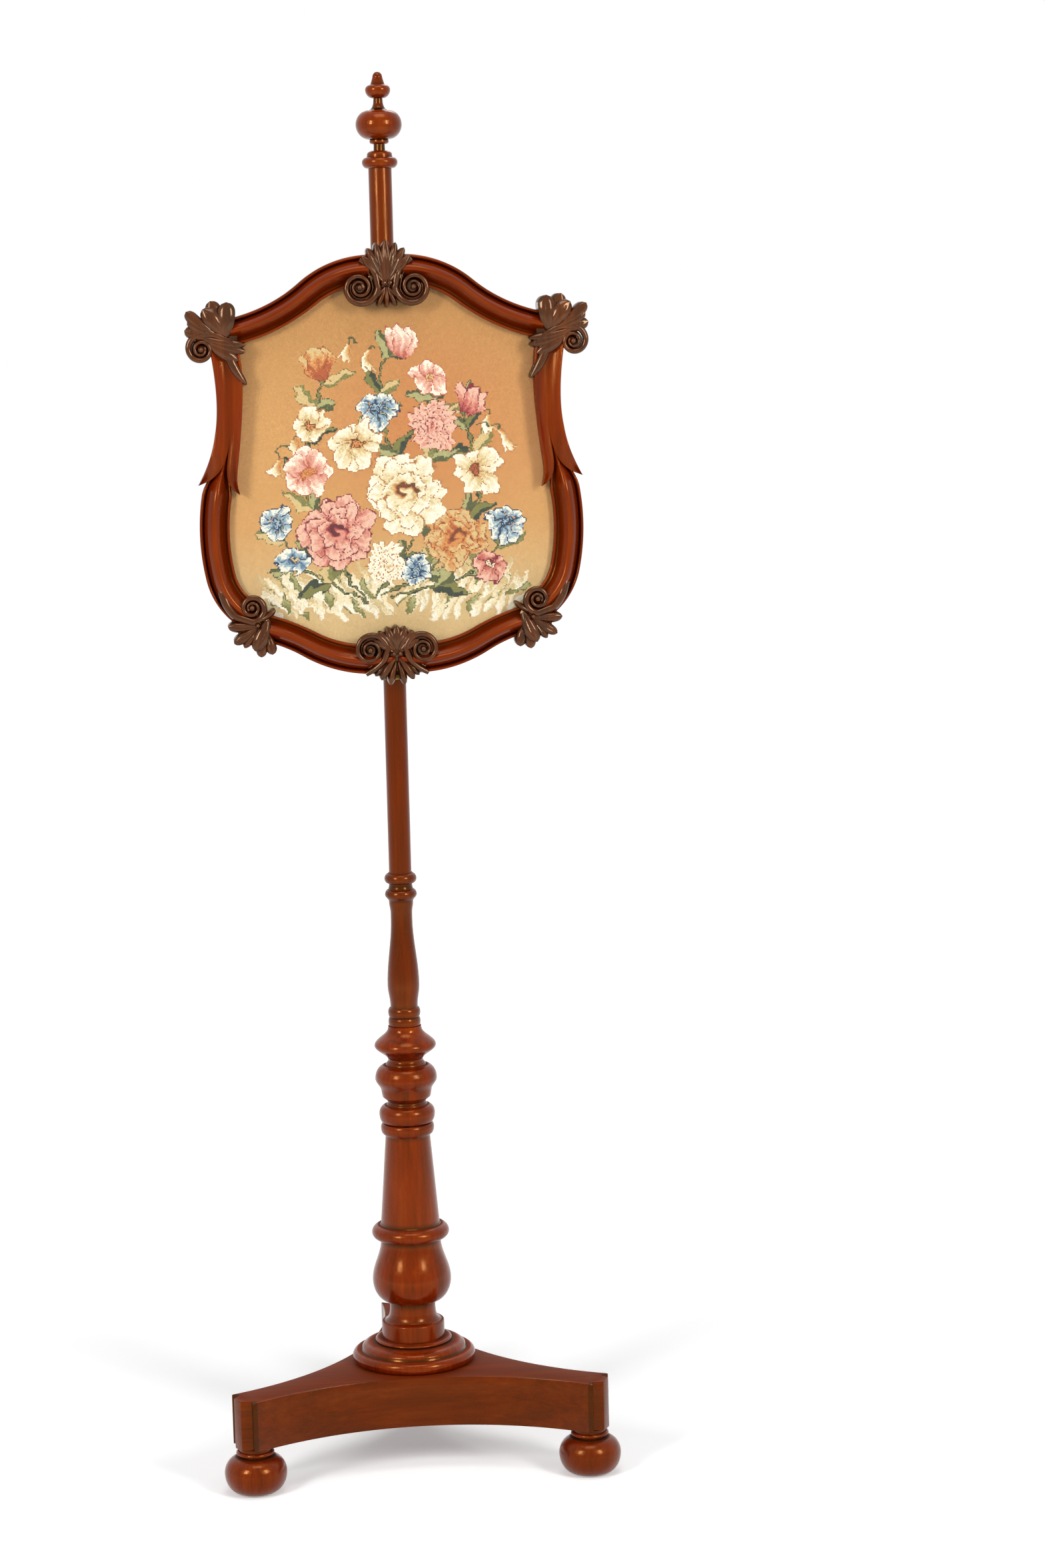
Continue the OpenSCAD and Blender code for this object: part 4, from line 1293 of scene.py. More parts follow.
class Relief:
    """Carved work on the screen's plane, gathered as points (x, y, height) before it is placed."""

    def __init__(self, shop: Workshop) -> None:
        """Starts with nothing carved.

        Args:
            shop: Trees and finishes.
        """
        self.shop = shop
        self.points: list[Array] = []
        self.faces: list[tuple[int, ...]] = []
        self.opened: list[Array] = []
        self.count = 0

    def add(self, points: Array, faces: Sequence[Sequence[int]], opened: Array) -> None:
        """Adds a closed shell, with the painted shade of each point.

        Args:
            points: The points.
            faces: Point numbers of each face.
            opened: Painted shade of each point.
        """
        self.faces += [tuple(i + self.count for i in f) for f in faces]
        self.points.append(points)
        self.opened.append(opened)
        self.count += len(points)

    def leaf(self, leaf: Leaf, mirrored: bool = False) -> None:
        """Adds a leaf, and its mirror image where asked.

        Args:
            leaf: The leaf.
            mirrored: True where its mirror image is added too.
        """
        points, faces, opened = leaf.surface()
        self.add(points, faces, opened)
        if mirrored:
            self.add(points * (-1, 1, 1), [f[::-1] for f in faces], opened)

    def leaves(self, rows: Sequence[tuple], mirrored: bool = False) -> None:
        """Adds leaves from rows of their values, with their mirror images where asked."""
        for row in rows:
            self.leaf(Leaf(*row), mirrored)

    def boss(self, centre: Point, profile: Sequence[Point], turns: int = 28) -> None:
        """Adds a round boss.

        Args:
            centre: Its middle.
            profile: Points (radius, height) from its back to the top of its axis.
            turns: Facets round it.
        """
        angles = np.linspace(0.0, tau, turns, endpoint=False)
        x, y = centre
        rows = [np.stack([x + r * np.cos(angles), y + r * np.sin(angles), np.full(turns, v)], axis=1)
                for r, v in profile]
        rows.append(np.array([[x, y, profile[-1][1]], [x, y, profile[0][1]]]))
        faces = []
        last = (len(profile) - 1) * turns
        for k in range(turns):
            n = (k + 1) % turns
            faces += [(i + k, i + n, i + turns + n, i + turns + k) for i in range(0, last, turns)]
            faces += [(last + k, last + n, last + turns), (n, k, last + turns + 1)]
        points = np.vstack(rows)
        # Painted shade: darker towards the carving's ground.
        self.add(points, faces, np.clip((points[:, 2] - 17) / 11, 0.15, 1.0))

    def rod(self, line: Array, heights: Array, girth: Array, sides: int = 14) -> None:
        """Adds a round rod along a line of the plane.

        Args:
            line: Points (x, y).
            heights: Height of the rod's middle at each.
            girth: Its radius at each.
            sides: Facets round it.
        """
        chain = [(k, k + 1) for k in range(len(line) - 1)]
        seed = seed_mesh(np.column_stack([line, heights]), chain, girth=girth)
        mesh = self.shop.shape(self.shop.trees.scrolled, seed, Slot.CARVED, Sides=sides)
        points = np.array([v.co for v in mesh.vertices])
        faces = [tuple(p.vertices) for p in mesh.polygons]
        away = points[:, None, :2] - line[None, :, :]
        near = np.argmin(np.hypot(away[..., 0], away[..., 1]), axis=1)
        # Painted shade: darker on the half of the rod towards the back.
        above = (points[:, 2] - heights[near]) / np.maximum(girth[near], 0.1)
        self.add(points, faces, np.clip(0.6 + 0.45 * above, 0.1, 1.0))

    def scroll(self, scroll: Scroll, bead: bool = False) -> None:
        """Adds a volute on its boss, with a thin line inside its band where asked.

        Args:
            scroll: The volute.
            bead: True for a thin line inside its band.
        """
        line, heights, girth = scroll.path()
        self.rod(line, heights, girth)
        if bead:
            way = np.gradient(line, axis=0)
            way /= np.hypot(*way.T)[:, None]
            side = np.stack([-way[:, 1], way[:, 0]], axis=1) * scroll.turn
            last = len(line) - 55
            inner = line + side * (girth + 1.5)[:, None]
            self.rod(inner[4:last], heights[4:last] - 0.8, np.full(last - 4, 0.85), 10)
        r = scroll.reach * 0.7
        dome = [(r, 3.0), (r, 18.5), (r - 1.5, 20.5), (r * 0.6, 21.5), (3.0, 23.0), (0.5, 23.5)]
        self.boss(scroll.centre, dome)
        self.boss(scroll.centre, [(3.4, 22.0), (3.4, 25.5), (2.9, 27.6), (1.6, 29.0), (0.2, 29.4)], 20)

    def ribbon(self, low_edge: Array, high_edge: Array, low: float, high: float,
               across: int = 14) -> None:
        """Adds a hollow blade that rises from one edge to the other.

        Args:
            low_edge: Points of its low edge, from root to tip.
            high_edge: Points of its high edge, as many.
            low: Height of the low edge.
            high: Height of the high edge.
            across: Steps between the edges.
        """
        s = np.concatenate([np.linspace(0.0, 0.86, across - 3), [0.92, 0.97, 1.0]])
        width = np.hypot(*(high_edge - low_edge).T)
        flat = low_edge[:, None, :] + (high_edge - low_edge)[:, None, :] * s[None, :, None]
        lift = (high - low) * np.minimum(1.0, 0.35 + width / 14)
        lip = 1.1 * np.clip((s - 0.86) / 0.14, 0, 1) ** 2
        top = low + lift[:, None] * (np.minimum(s, 0.92) / 0.92)[None, :] ** 1.7 - lip[None, :]
        # Painted shade: darker towards the low edge, in the valley.
        opened = (0.72 + 0.28 * s)[None, :] * np.ones_like(top)
        self.add(*closed_sheet(flat, top, 1.0, opened))

    def piece(self, name: str, side: int, slot: Slot, nodes: Sequence[str], sharp: float = 50.0) -> None:
        """Puts the carved work on the screen.

        Args:
            name: Name of the piece.
            side: 1 for the right half, -1 for its mirror image.
            slot: Its finish.
            nodes: The solids that it stands for.
            sharp: Angle in degrees past which an edge stays sharp.
        """
        x, y, height = np.vstack(self.points).T
        mesh = new_mesh(name, np.column_stack(on_plane(side * x, y, height)), self.faces)
        store_grain(mesh)
        store_values(mesh, "opened", np.concatenate(self.opened))
        self.shop.place(name, mesh, Body.SCREEN, slot, nodes, sharp)


def distance_to(points: Array, line: Array) -> Array:
    """Distance from each point to the nearest stretch of a line.

    Args:
        points: The points.
        line: The line's points.

    Returns:
        One distance for each point.
    """
    best = np.full(len(points), 1e9)
    for a, b in zip(line, line[1:]):
        way = b - a
        share = np.clip(((points - a) @ way) / max(float(way @ way), 1e-12), 0, 1)
        best = np.minimum(best, np.hypot(*(points - a - share[:, None] * way).T))
    return best


def bowed(a: Point, middle: Point, b: Point, count: int = 10) -> list[Point]:
    """Points of a curve from a towards b, without its end.

    Args:
        a: Where it starts.
        middle: The point that bends it.
        b: Where it would end.
        count: How many points.

    Returns:
        The curve's points.
    """
    t = (np.arange(count) / count)[:, None]
    line = (1 - t) ** 2 * np.array(a) + 2 * t * (1 - t) * np.array(middle) + t * t * np.array(b)
    return [tuple(p) for p in line.tolist()]


@dataclass
class ScreenFrame:
    """The moulded rails and stiles, and the side leaves."""

    rail: Moulding = field(default_factory=lambda: Moulding(RAIL_W))
    stile: Moulding = field(default_factory=lambda: Moulding(STILE_W, crown_at=0.5))
    rail_swell: float = 1.12
    tuck: float = 0.5
    leaf_v: float = 25.5
    valley_v: float = 19.0

    def build(self, shop: Workshop) -> None:
        """Builds both halves of the frame.

        Args:
            shop: Trees and finishes.
        """
        rail, stile = (self.rail, self._rail_size), (self.stile, self._stile_size)
        members = (
            ("top", *rail, TOP_LINE, 1, 16.0, 12.0, ("crest_rail", "shoulder_rail")),
            ("stile", *stile, STILE_LINE, 1, 40.0, 6.0, ("stile", "stile_foot")),
            ("bottom", *rail, BOTTOM_LINE, -1, 16.0, 6.0, ("apron_rail", "knee_rail")))
        for side, name in SIDES:
            for part, moulding, size_at, line, outer, before, beyond, solids in members:
                mesh = moulding.sweep(shop, line, outer, side, before, beyond, size_at)
                nodes = [f"{solid}_{name}" for solid in solids]
                shop.place(f"moulded_{part}_{name}", mesh, Body.SCREEN, Slot.POLISHED, nodes)
            self._leaf(shop, side, name)

    def _rail_size(self, run: float) -> float:
        """Size of a rail's section at a distance from the middle of the screen."""
        return self.rail_swell + (1.0 - self.rail_swell) * min(1.0, max(0.0, run / 90.0))

    def _stile_size(self, run: float) -> float:
        """Size of a stile's section, tucked under the side leaf at its top."""
        return self.tuck + (1.0 - self.tuck) * min(1.0, max(0.0, (run + 2.0) / 22.0)) ** 0.7

    def _leaf(self, shop: Workshop, side: int, name: str) -> None:
        """The hollowed side leaf: two blades that share a valley and part above the stile.

        Args:
            shop: Trees and finishes.
            side: Sign of x on that half.
            name: Name of that half.
        """
        valley = ((171, 125), (168.8, 95), (168, 65), (168.5, 33))
        outer_tip, inner_tip = (203, -16), (159.5, -26.5)
        outer = [*bowed((186, 125), (177, 70), (183.5, 37), 14),
                 *bowed((183.5, 37), (187.5, 10), outer_tip, 14), outer_tip]
        outer_low = (*valley, (172.5, 14), (180, -1), (190.5, -10.5), outer_tip)
        inner = [*bowed((156, 125), (152.8, 106), (153.2, 88), 10),
                 *bowed((153.2, 88), (154, 52), (161.5, -1), 16),
                 *bowed((161.5, -1), (163.5, -15), inner_tip, 8), inner_tip]
        inner_low = (*valley, (170.8, 15), (172.5, 0), (171.5, -12), (167, -21), inner_tip)
        relief = Relief(shop)
        for low, high in ((outer_low, outer), (inner_low, inner)):
            edges = (even_line(smooth_line(low), 60), even_line(np.array(high), 60))
            relief.ribbon(*edges, self.valley_v, self.leaf_v)
        relief.piece(f"hollowed_leaf_{name}", side, Slot.POLISHED, (f"side_leaf_{name}",), 60.0)


@dataclass
class Carvings:
    """Crest, apron, ears and knees, with their scrolls.

    A row of a spray is a leaf's root, tip, width, bend and heights, and then its belly, vein, waist and peak.
    """

    crest_volute: Point = (28.2, 185.6)
    apron_volute: Point = (28.2, -194.5)
    ear_volute: Point = (195.2, 125.4)
    knee_volute: Point = (151.5, -145.5)

    def build(self, shop: Workshop) -> None:
        """Carves every ornament.

        Args:
            shop: Trees and finishes.
        """
        self._crest(shop)
        self._apron(shop)
        for side, name in SIDES:
            self._ear(shop, side, name)
            self._knee(shop, side, name)

    @staticmethod
    def _volute(shop: Workshop, corner: str, side: int, name: str, scroll: Scroll,
                bead: bool = False) -> None:
        """Carves the volute of one corner and side.

        Args:
            shop: Trees and finishes.
            corner: Name of the corner.
            side: Sign of x on that half.
            name: Name of that half.
            scroll: The volute.
            bead: True for a thin line inside its band.
        """
        volute = Relief(shop)
        volute.scroll(scroll, bead)
        volute.piece(f"carved_{corner}_scroll_{name}", side, Slot.CARVED, (f"{corner}_scroll_{name}",))

    @staticmethod
    def _hub(relief: Relief, centre: Point, radius: float, inner: float) -> None:
        """Adds the low boss that a spray stands on."""
        relief.boss(centre, [(radius, 1.0), (radius, 18.0), (inner, 22.0), (0.5, 24.0)])

    @staticmethod
    def _berry(relief: Relief, centre: Point, radius: float, shoulder: float, top: float = 31.2) -> None:
        """Adds a small round berry."""
        relief.boss(centre, [(radius, 24.0), (radius, 29.0), (shoulder, top - 0.6), (0.2, top)], 16)

    @staticmethod
    def _fan(hub_y: float, angle: float, reach: float) -> Point:
        """Tip of a leaf that leans from the upright by an angle in degrees."""
        a = radians(90 - angle)
        return (reach * cos(a), hub_y + reach * sin(a))

    def _crest(self, shop: Workshop) -> None:
        """A palmette over two volutes, with drooping leaves.

        Args:
            shop: Trees and finishes.
        """
        relief = Relief(shop)
        self._hub(relief, (0.0, 192.0), 19.0, 9.0)
        relief.leaves([((0.0, 188.0), (0.0, 234.0), 10.5, 0.0, 25, 30, 28, 3.0, 1.6)])
        relief.leaves([((1.2, 188.5), self._fan(188.0, angle, reach), width, bend,
                        25, 29.8 - angle / 28, 27 - angle / 28, 3.0, 1.6)
                       for angle, reach, width, bend in (
                           (13.5, 45.0, 9.5, 0.02), (27.0, 43.0, 9.5, 0.05), (40.0, 39.0, 10.0, 0.08))], True)
        relief.leaves([((0.0, 186.5), (0.0, 164.5), 6.0, 0.0, 26, 29, 27, 3.5, 0.5)])
        relief.leaves([((1.5, 186.0), self._fan(186.0, angle, reach), width, bend, 26, 28.5, 26.5, 3.5, 0.5)
                       for angle, reach, width, bend in (
                           (153, 22.5, 6.2, -0.08), (126, 20.5, 5.6, -0.14))], True)
        for x in (-3.2, 3.2):
            self._berry(relief, (x, 190.0), 2.5, 1.9)
        relief.piece("carved_crest", 1, Slot.CARVED, ("crest",))
        lead = ((27.0, 214.5), (17.5, 207.5), (11.0, 198.0))
        for side, name in SIDES:
            self._volute(shop, "crest", side, name, Scroll(self.crest_volute, 19.6, 180, 1, lead), True)

    def _apron(self, shop: Workshop) -> None:
        """A shell between two volutes, with leaves below.

        Args:
            shop: Trees and finishes.
        """
        relief = Relief(shop)
        hub_y = -198.0
        self._hub(relief, (0.0, -200.0), 18.0, 9.0)
        relief.leaves([((0.0, hub_y), (0.0, -168.5), 10.0, 0.0, 25, 29.5, 27, 2.6, 1.4)])
        relief.leaves([((1.0, hub_y), self._fan(hub_y, angle, reach), width, 0.03,
                        25, 29.0 - angle / 40, 27 - angle / 40, 2.6, 1.4)
                       for angle, reach, width in ((20, 29.0, 9.5), (40, 29.0, 9.5), (60, 27.5, 9.0))], True)
        relief.leaves([((4.0, -205.0), (23.5, -222.5), 7.0, 0.05, 23, 25, 22, 3.5, 0.8),
                       ((1.8, -203.5), (17.5, -226.5), 8.5, 0.06, 26, 29.5, 26, 3.5, 0.8),
                       ((1.2, -208.0), (7.6, -232.0), 7.5, 0.05, 25, 28.5, 25.5, 3.5, 0.8)], True)
        for x in (-3.3, 3.3):
            self._berry(relief, (x, -198.5), 2.4, 1.8)
        relief.piece("carved_apron", 1, Slot.CARVED, ("apron",))
        lead = ((33.0, -220.0), (22.0, -213.5), (13.5, -205.0))
        for side, name in SIDES:
            self._volute(shop, "apron", side, name, Scroll(self.apron_volute, 18.8, 180, -1, lead), True)

    def _ear(self, shop: Workshop, side: int, name: str) -> None:
        """A spray of broad lobes over a volute at an upper corner.

        Args:
            shop: Trees and finishes.
            side: Sign of x on that half.
            name: Name of that half.
        """
        relief = Relief(shop)
        self._hub(relief, (177.0, 139.0), 20.0, 10.0)
        relief.leaves([
            ((174.0, 139.0), (184.0, 175.5), 17.0, 0.04, 20, 24, 22, 3.5, 1.2, 0.35, 0.72),
            ((171.5, 136.0), (167.5, 174.0), 18.0, 0.08, 25, 31, 28, 3.5, 1.2, 0.5, 0.74),
            ((171.0, 137.0), (192.5, 167.0), 17.0, 0.1, 25, 31.5, 27.5, 3.5, 1.2, 0.45, 0.7),
            ((175.0, 138.0), (209.5, 165.0), 12.5, -0.1, 25, 29.5, 28.5, 3.5, 1.2, 0.5, 0.8),
            ((174.0, 137.0), (208.5, 155.0), 13.0, -0.02, 25, 29.5, 27, 3.5, 1.2, 0.5, 0.7),
            ((176.0, 135.0), (211.8, 145.5), 13.5, 0.0, 24, 28, 25, 3.5, 1.2, 0.6, 0.76),
            ((169.0, 127.0), (148.8, 88.0), 10.0, 0.12, 25, 27.5, 25.5, 2.5, 0.0, 0.6, 0.4),
            ((196.0, 139.0), (148.5, 129.5), 10.0, 0.1, 26, 28.5, 25.5, 3.0, 0.0, 0.6, 0.62),
            ((193.0, 137.0), (149.0, 122.5), 11.0, 0.08, 26, 28.5, 25.5, 3.0, 0.0, 0.6, 0.62),
            ((188.0, 133.0), (156.0, 113.5), 13.0, 0.06, 26, 28.5, 25.5, 3.0, 0.0, 0.6, 0.62)])
        relief.piece(f"carved_ear_{name}", side, Slot.CARVED, (f"ear_{name}",))
        lead = ((160.0, 128.5), (171.0, 136.0), (183.0, 140.8))
        scroll = Scroll(self.ear_volute, 15.6, 90, -1, lead, 3.0, 26.0, share=0.24)
        self._volute(shop, "ear", side, name, scroll)

    def _knee(self, shop: Workshop, side: int, name: str) -> None:
        """A spray of leaves under a volute at a lower corner.

        Args:
            shop: Trees and finishes.
            side: Sign of x on that half.
            name: Name of that half.
        """
        relief = Relief(shop)
        self._hub(relief, (150.0, -166.0), 18.0, 10.0)
        relief.leaves([
            ((146.5, -160.5), (126.8, -148.0), 6.5, 0.06, 26, 28.5, 26, 3.5, 0.0),
            ((143.0, -164.5), (177.5, -164.5), 11.0, -0.06, 25, 28, 25, 3.5, 1.2, 0.35, 0.72),
            ((147.0, -166.5), (171.5, -182.5), 11.0, -0.04, 25, 29, 26.5, 3.5, 1.6),
            ((144.0, -166.0), (161.0, -187.5), 9.0, 0.02, 24, 27, 24),
            ((136.0, -160.0), (150.0, -191.0), 15.5, -0.05, 26, 30, 27, 3.5, 1.6, 0.5),
            ((139.5, -172.0), (143.2, -198.0), 11.5, 0.05, 23, 26.5, 25, 3.5, 1.2, 0.35, 0.72),
            ((136.5, -172.0), (131.5, -195.5), 11.5, -0.05, 23, 26.5, 25, 3.5, 1.2, 0.35, 0.72)])
        self._berry(relief, (146.0, -164.0), 2.2, 1.7, 31.0)
        relief.piece(f"carved_knee_{name}", side, Slot.CARVED, (f"knee_{name}",))
        lead = ((182.0, -128.0), (177.0, -143.0), (167.0, -155.0))
        scroll = Scroll(self.knee_volute, 15.0, -90, -1, lead, 5.4, 18.0, share=0.28)
        self._volute(shop, "knee", side, name, scroll)


class Wool(Enum):
    """Yarn colours of the needlework."""

    GROUND = "cb9757"
    GROUND_DEEP = "b27f41"
    GROUND_PALE = "d0b37c"
    RUST_GROUND = "bf7139"
    IVORY = "f4ecd4"
    CREAM = "ead9ae"
    SAND = "d2b67c"
    BLUSH = "e6b79d"
    PINK = "d68f78"
    ROSE = "bb5f50"
    CRIMSON = "8f2c33"
    WINE = "571c22"
    AMBER = "cf8a48"
    RUST = "a9542a"
    UMBER = "6a3a1c"
    SKY = "9db3ba"
    BLUE = "5b7c96"
    NAVY = "24364f"
    SAGE = "a9a46c"
    OLIVE = "79763c"
    MOSS = "4c5230"
    PINE = "2b3426"


Shades = tuple[Wool, ...]


def shades(names: str) -> Shades:
    """Yarns by their names, that of the outline first."""
    return tuple(Wool[name] for name in names.split())


PINK_SHADES = shades("WINE CRIMSON ROSE PINK BLUSH")
CREAM_SHADES = shades("UMBER AMBER SAND CREAM IVORY")
RUST_SHADES = shades("UMBER RUST RUST AMBER SAND")
BLUE_SHADES = shades("NAVY NAVY BLUE SKY IVORY")
BLUSH_SHADES = shades("RUST ROSE PINK BLUSH IVORY")
GREEN_SHADES = shades("PINE MOSS OLIVE SAGE")
DARK_GREENS = shades("PINE PINE MOSS OLIVE")
PALE_GREENS = shades("MOSS OLIVE SAGE SAND")


class NeedleworkPattern:
    """A worked design on a grid of stitches: garden flowers in a loose spray over a bank of grass."""

    def __init__(self, x: Array, y: Array) -> None:
        """Starts with the ground.

        Args:
            x: Middle of each stitch, to the right.
            y: Middle of each stitch, upwards.
        """
        self.noise = np.random.default_rng(12)
        self.jitter = self.noise.normal(0, 1, x.shape)
        self.x, self.y = x + self._drift(x, y), y + self._drift(x, y)
        self.colour = np.empty(x.shape + (3,))
        self._fill(np.ones_like(x, bool), Wool.GROUND)
        self._blend(np.clip((y - 40) / 160 + 0.07 * self.jitter, 0, 0.9), Wool.GROUND_DEEP)
        self._blend(np.clip((-60 - y) / 90 + 0.07 * self.jitter, 0, 0.9), Wool.GROUND_PALE)
        warm = np.clip(1.1 - np.hypot((x - 40) / 1.2, y - 40) / 120, 0, 1)
        self._blend(np.clip(0.75 * warm + 0.05 * self.jitter, 0, 1), Wool.RUST_GROUND)

    def _drift(self, x: Array, y: Array) -> Array:
        """Small smooth shifts, as a hand works them.

        Args:
            x: Places across.
            y: Places up.

        Returns:
            One shift for each place.
        """
        total = np.zeros_like(x)
        for length, size in ((46, 1.6), (23, 1.1), (11, 0.7), (6, 0.4)):
            a, b, c, d = self.noise.uniform(0, tau, 4)
            total += size * np.sin(x * cos(a) * 6.28 / length + y * sin(a) * 6.28 / length + b)
            total += size * np.sin(x * cos(c) * 6.28 / length + y * sin(c) * 6.28 / length + d)
        return total

    @staticmethod
    def _rgb(wool: Wool) -> Array:
        """A yarn's linear colour."""
        return np.array(linear(wool.value)[:3])

    def _fill(self, mask: Array, wool: Wool) -> None:
        """Works one yarn where the mask is set."""
        self.colour[mask] = self._rgb(wool)

    def _blend(self, share: Array, wool: Wool) -> None:
        """Works one yarn over the rest by share."""
        self.colour[:] = self.colour * (1 - share[..., None]) + self._rgb(wool) * share[..., None]

    def _edge(self, mask: Array, wools: Shades) -> None:
        """Works the soft dark line round a form."""
        self.colour[mask] = 0.45 * self._rgb(wools[0]) + 0.55 * self._rgb(wools[1])

    def _shade(self, mask: Array, share: Array, wools: Shades) -> None:
        """Works a run of yarns, the first where the share is 0 and the last where it is 1.

        Args:
            mask: The stitches to work.
            share: Place of each stitch in the run.
            wools: Its yarns.
        """
        yarns = np.array([self._rgb(w) for w in wools])
        at = np.clip((share[mask] + 0.06 * self.jitter[mask]) * len(wools) - 0.5, 0, len(wools) - 1.001)
        step = at.astype(int)
        part = np.clip((at - step) * 1.6 - 0.3, 0, 1)[:, None]
        self.colour[mask] = yarns[step] * (1 - part) + yarns[step + 1] * part

    def _local(self, root: Point, angle: float) -> tuple[Array, Array]:
        """Distance of each stitch along and across a direction in degrees.

        Args:
            root: Where it starts.
            angle: Direction in degrees.

        Returns:
            The distances along and across.
        """
        s, c = left_of(angle) * (-1, 1)
        dx, dy = self.x - root[0], self.y - root[1]
        return dx * c + dy * s, dy * c - dx * s

    def petal(self, root: Point, angle: float, length: float, width: float, wools: Shades,
              full: float = 1.6) -> None:
        """Works a petal, outlined and shaded from its root to its rim.

        Args:
            root: Where it starts.
            angle: Its direction in degrees.
            length: Its length.
            width: Its widest width.
            wools: The outline's yarn and the shades from root to rim.
            full: How far out it is widest, more being nearer the rim.
        """
        along, across = self._local(root, angle)
        u, v = along / length, across / (width / 2)
        half = np.sin(np.pi * np.clip(u, 0, 1) ** full) ** 0.7
        rim = np.sin(np.pi * np.clip((along + 0.8) / (length + 1.6), 0, 1) ** full) ** 0.7
        self._edge((np.abs(across) < rim * width / 2 + 0.7) & (along > 0) & (along < length + 0.9), wools)
        ripple = 0.1 * np.sin(v * 9 + angle)
        share = 0.15 + 0.85 * u - 0.22 * v * (v > 0) + ripple
        self._shade((np.abs(v) < half) & (u > 0) & (u < 1), share, wools[1:])

    def rose(self, centre: Point, radius: float, wools: Shades, rows: Sequence[int], turn: float) -> None:
        """Works a full rose of rows of petals round a furled heart.

        Args:
            centre: Its middle.
            radius: Its radius.
            wools: Its yarns.
            rows: Petals in each row.
            turn: How far its petals are turned.
        """
        for row, count in enumerate(rows):
            reach = radius * (1 - 0.25 * row)
            for k in range(count):
                angle = turn + 360 * (k + 0.37 * row + self.noise.uniform(-0.16, 0.16)) / count
                root = centre + reach * 0.18 * left_of(angle - 90)
                length = reach * self.noise.uniform(0.74, 0.94)
                width = reach * self.noise.uniform(4.6, 6.0) / count
                self.petal(root, angle, length, width, wools, 1.9)
        u, v = self._local(centre, turn)
        r = np.hypot(u, v)
        furl = np.sin(np.arctan2(v, u) + r * 5.0 / (radius * 0.34))
        self._shade(r < radius * 0.3, 0.5 + 0.5 * furl, wools[:4])

    def star(self, centre: Point, radius: float, count: int, wools: Shades, heart: Wool, turn: float) -> None:
        """Works an open flower of one row of petals round a heart of knots.

        Args:
            centre: Its middle.
            radius: Its radius.
            count: How many petals.
            wools: Its yarns.
            heart: Yarn of its heart.
            turn: How far its petals are turned.
        """
        for k in [*range(0, count, 2), *range(1, count, 2)]:
            angle = turn + 360 * (k + self.noise.uniform(-0.15, 0.15)) / count
            self.petal(centre, angle, radius * self.noise.uniform(0.88, 1.06), radius * 5.6 / count, wools)
        u, v = self._local(centre, 20)
        r = np.hypot(u, v)
        self._fill(r < radius * 0.24, wools[0])
        self._fill((r < radius * 0.2) & (np.cos(u * 2.2) * np.cos(v * 2.2) > -0.15), heart)

    def fringe(self, centre: Point, radius: float, wools: Shades) -> None:
        """Works a fringed flower with toothed rims.

        Args:
            centre: Its middle.
            radius: Its radius.
            wools: Its yarns.
        """
        u, v = self._local(centre, 8)
        r, a = np.hypot(u, v), np.arctan2(v, u)
        for k, reach in enumerate((1.0, 0.74, 0.48, 0.24)):
            teeth = np.abs(((a * (17 - 3 * k) / tau + 0.3 * k) % 1) * 2 - 1)
            edge = radius * reach * (0.84 + 0.18 * teeth)
            self._edge(r < edge + 0.7, wools)
            self._shade(r < edge, 0.2 + 0.75 * r / edge + 0.16 * np.sin(a * (17 - 3 * k)), wools[1:])

    def cornflower(self, centre: Point, radius: float) -> None:
        """Works a blue flower of toothed florets.

        Args:
            centre: Its middle.
            radius: Its radius.
        """
        for k in range(9):
            self.petal(centre, 40 * k + 11, radius, radius * 0.56, BLUE_SHADES, 3.2)
        u, v = self._local(centre, 0)
        self._fill(np.hypot(u, v) < radius * 0.3, Wool.NAVY)
        self._fill((np.hypot(u, v) < radius * 0.25) & (np.sin(u * 2.5) * np.sin(v * 2.5) > 0), Wool.SKY)

    def tulip(self, root: Point, angle: float, size: float, wools: Shades) -> None:
        """Works a cup of three petals seen from its side."""
        for lean, wide in ((26, 0.5), (-26, 0.5), (0, 0.62)):
            self.petal(root, angle + lean, size, size * wide, wools, 1.2)

    def bell(self, top: Point, angle: float, size: float, wools: Shades) -> None:
        """Works a hanging bell with a scalloped mouth.

        Args:
            top: Where it hangs from.
            angle: Direction in degrees.
            size: Its size.
            wools: Its yarns.
        """
        along, across = self._local(top, angle)
        t = along / size
        half = size * (0.14 + 0.3 * np.clip(t, 0, 1) ** 1.8)
        mouth = 1 + 0.12 * np.cos(across / size * 15)
        self._edge((t > -0.05) & (t < mouth + 0.05) & (np.abs(across) < half + 0.7), wools)
        inside = (t > 0) & (t < mouth) & (np.abs(across) < half)
        self._shade(inside, 0.25 + 0.5 * t - 0.4 * across / half, wools[1:])

    def stem(self, points: Sequence[Point], width: float, wool: Wool) -> None:
        """Works a curved stem through the points.

        Args:
            points: The points.
            width: Its width.
            wool: Its yarn.
        """
        stitches = np.column_stack([self.x.ravel(), self.y.ravel()])
        near = distance_to(stitches, smooth_line(points)).reshape(self.x.shape)
        self._fill(near < width / 2, wool)

    def leaf(self, root: Point, angle: float, length: float, width: float, wools: Shades) -> None:
        """Works a toothed leaf with a vein and a dark half.

        Args:
            root: Where it starts.
            angle: Direction in degrees.
            length: Its length.
            width: Its width.
            wools: Its yarns.
        """
        along, across = self._local(root, angle)
        u = along / length
        teeth = 1 + 0.2 * ((u * 7 + 0.3 * np.sign(across)) % 1)
        half = width / 2 * np.sin(np.pi * np.clip(u, 0, 1) ** 0.8) ** 0.85 * teeth
        inside = (u > 0) & (u < 1)
        self._edge(inside & (np.abs(across) < half + 0.7), wools)
        ribs = 0.14 * np.sin((along - np.abs(across) * 1.1) * 1.5)
        self._shade(inside & (np.abs(across) < half), 0.55 + 0.38 * np.sign(across) + ribs, wools[1:])
        self._fill(inside & (np.abs(across) < 0.8) & (u < 0.86), wools[-1])

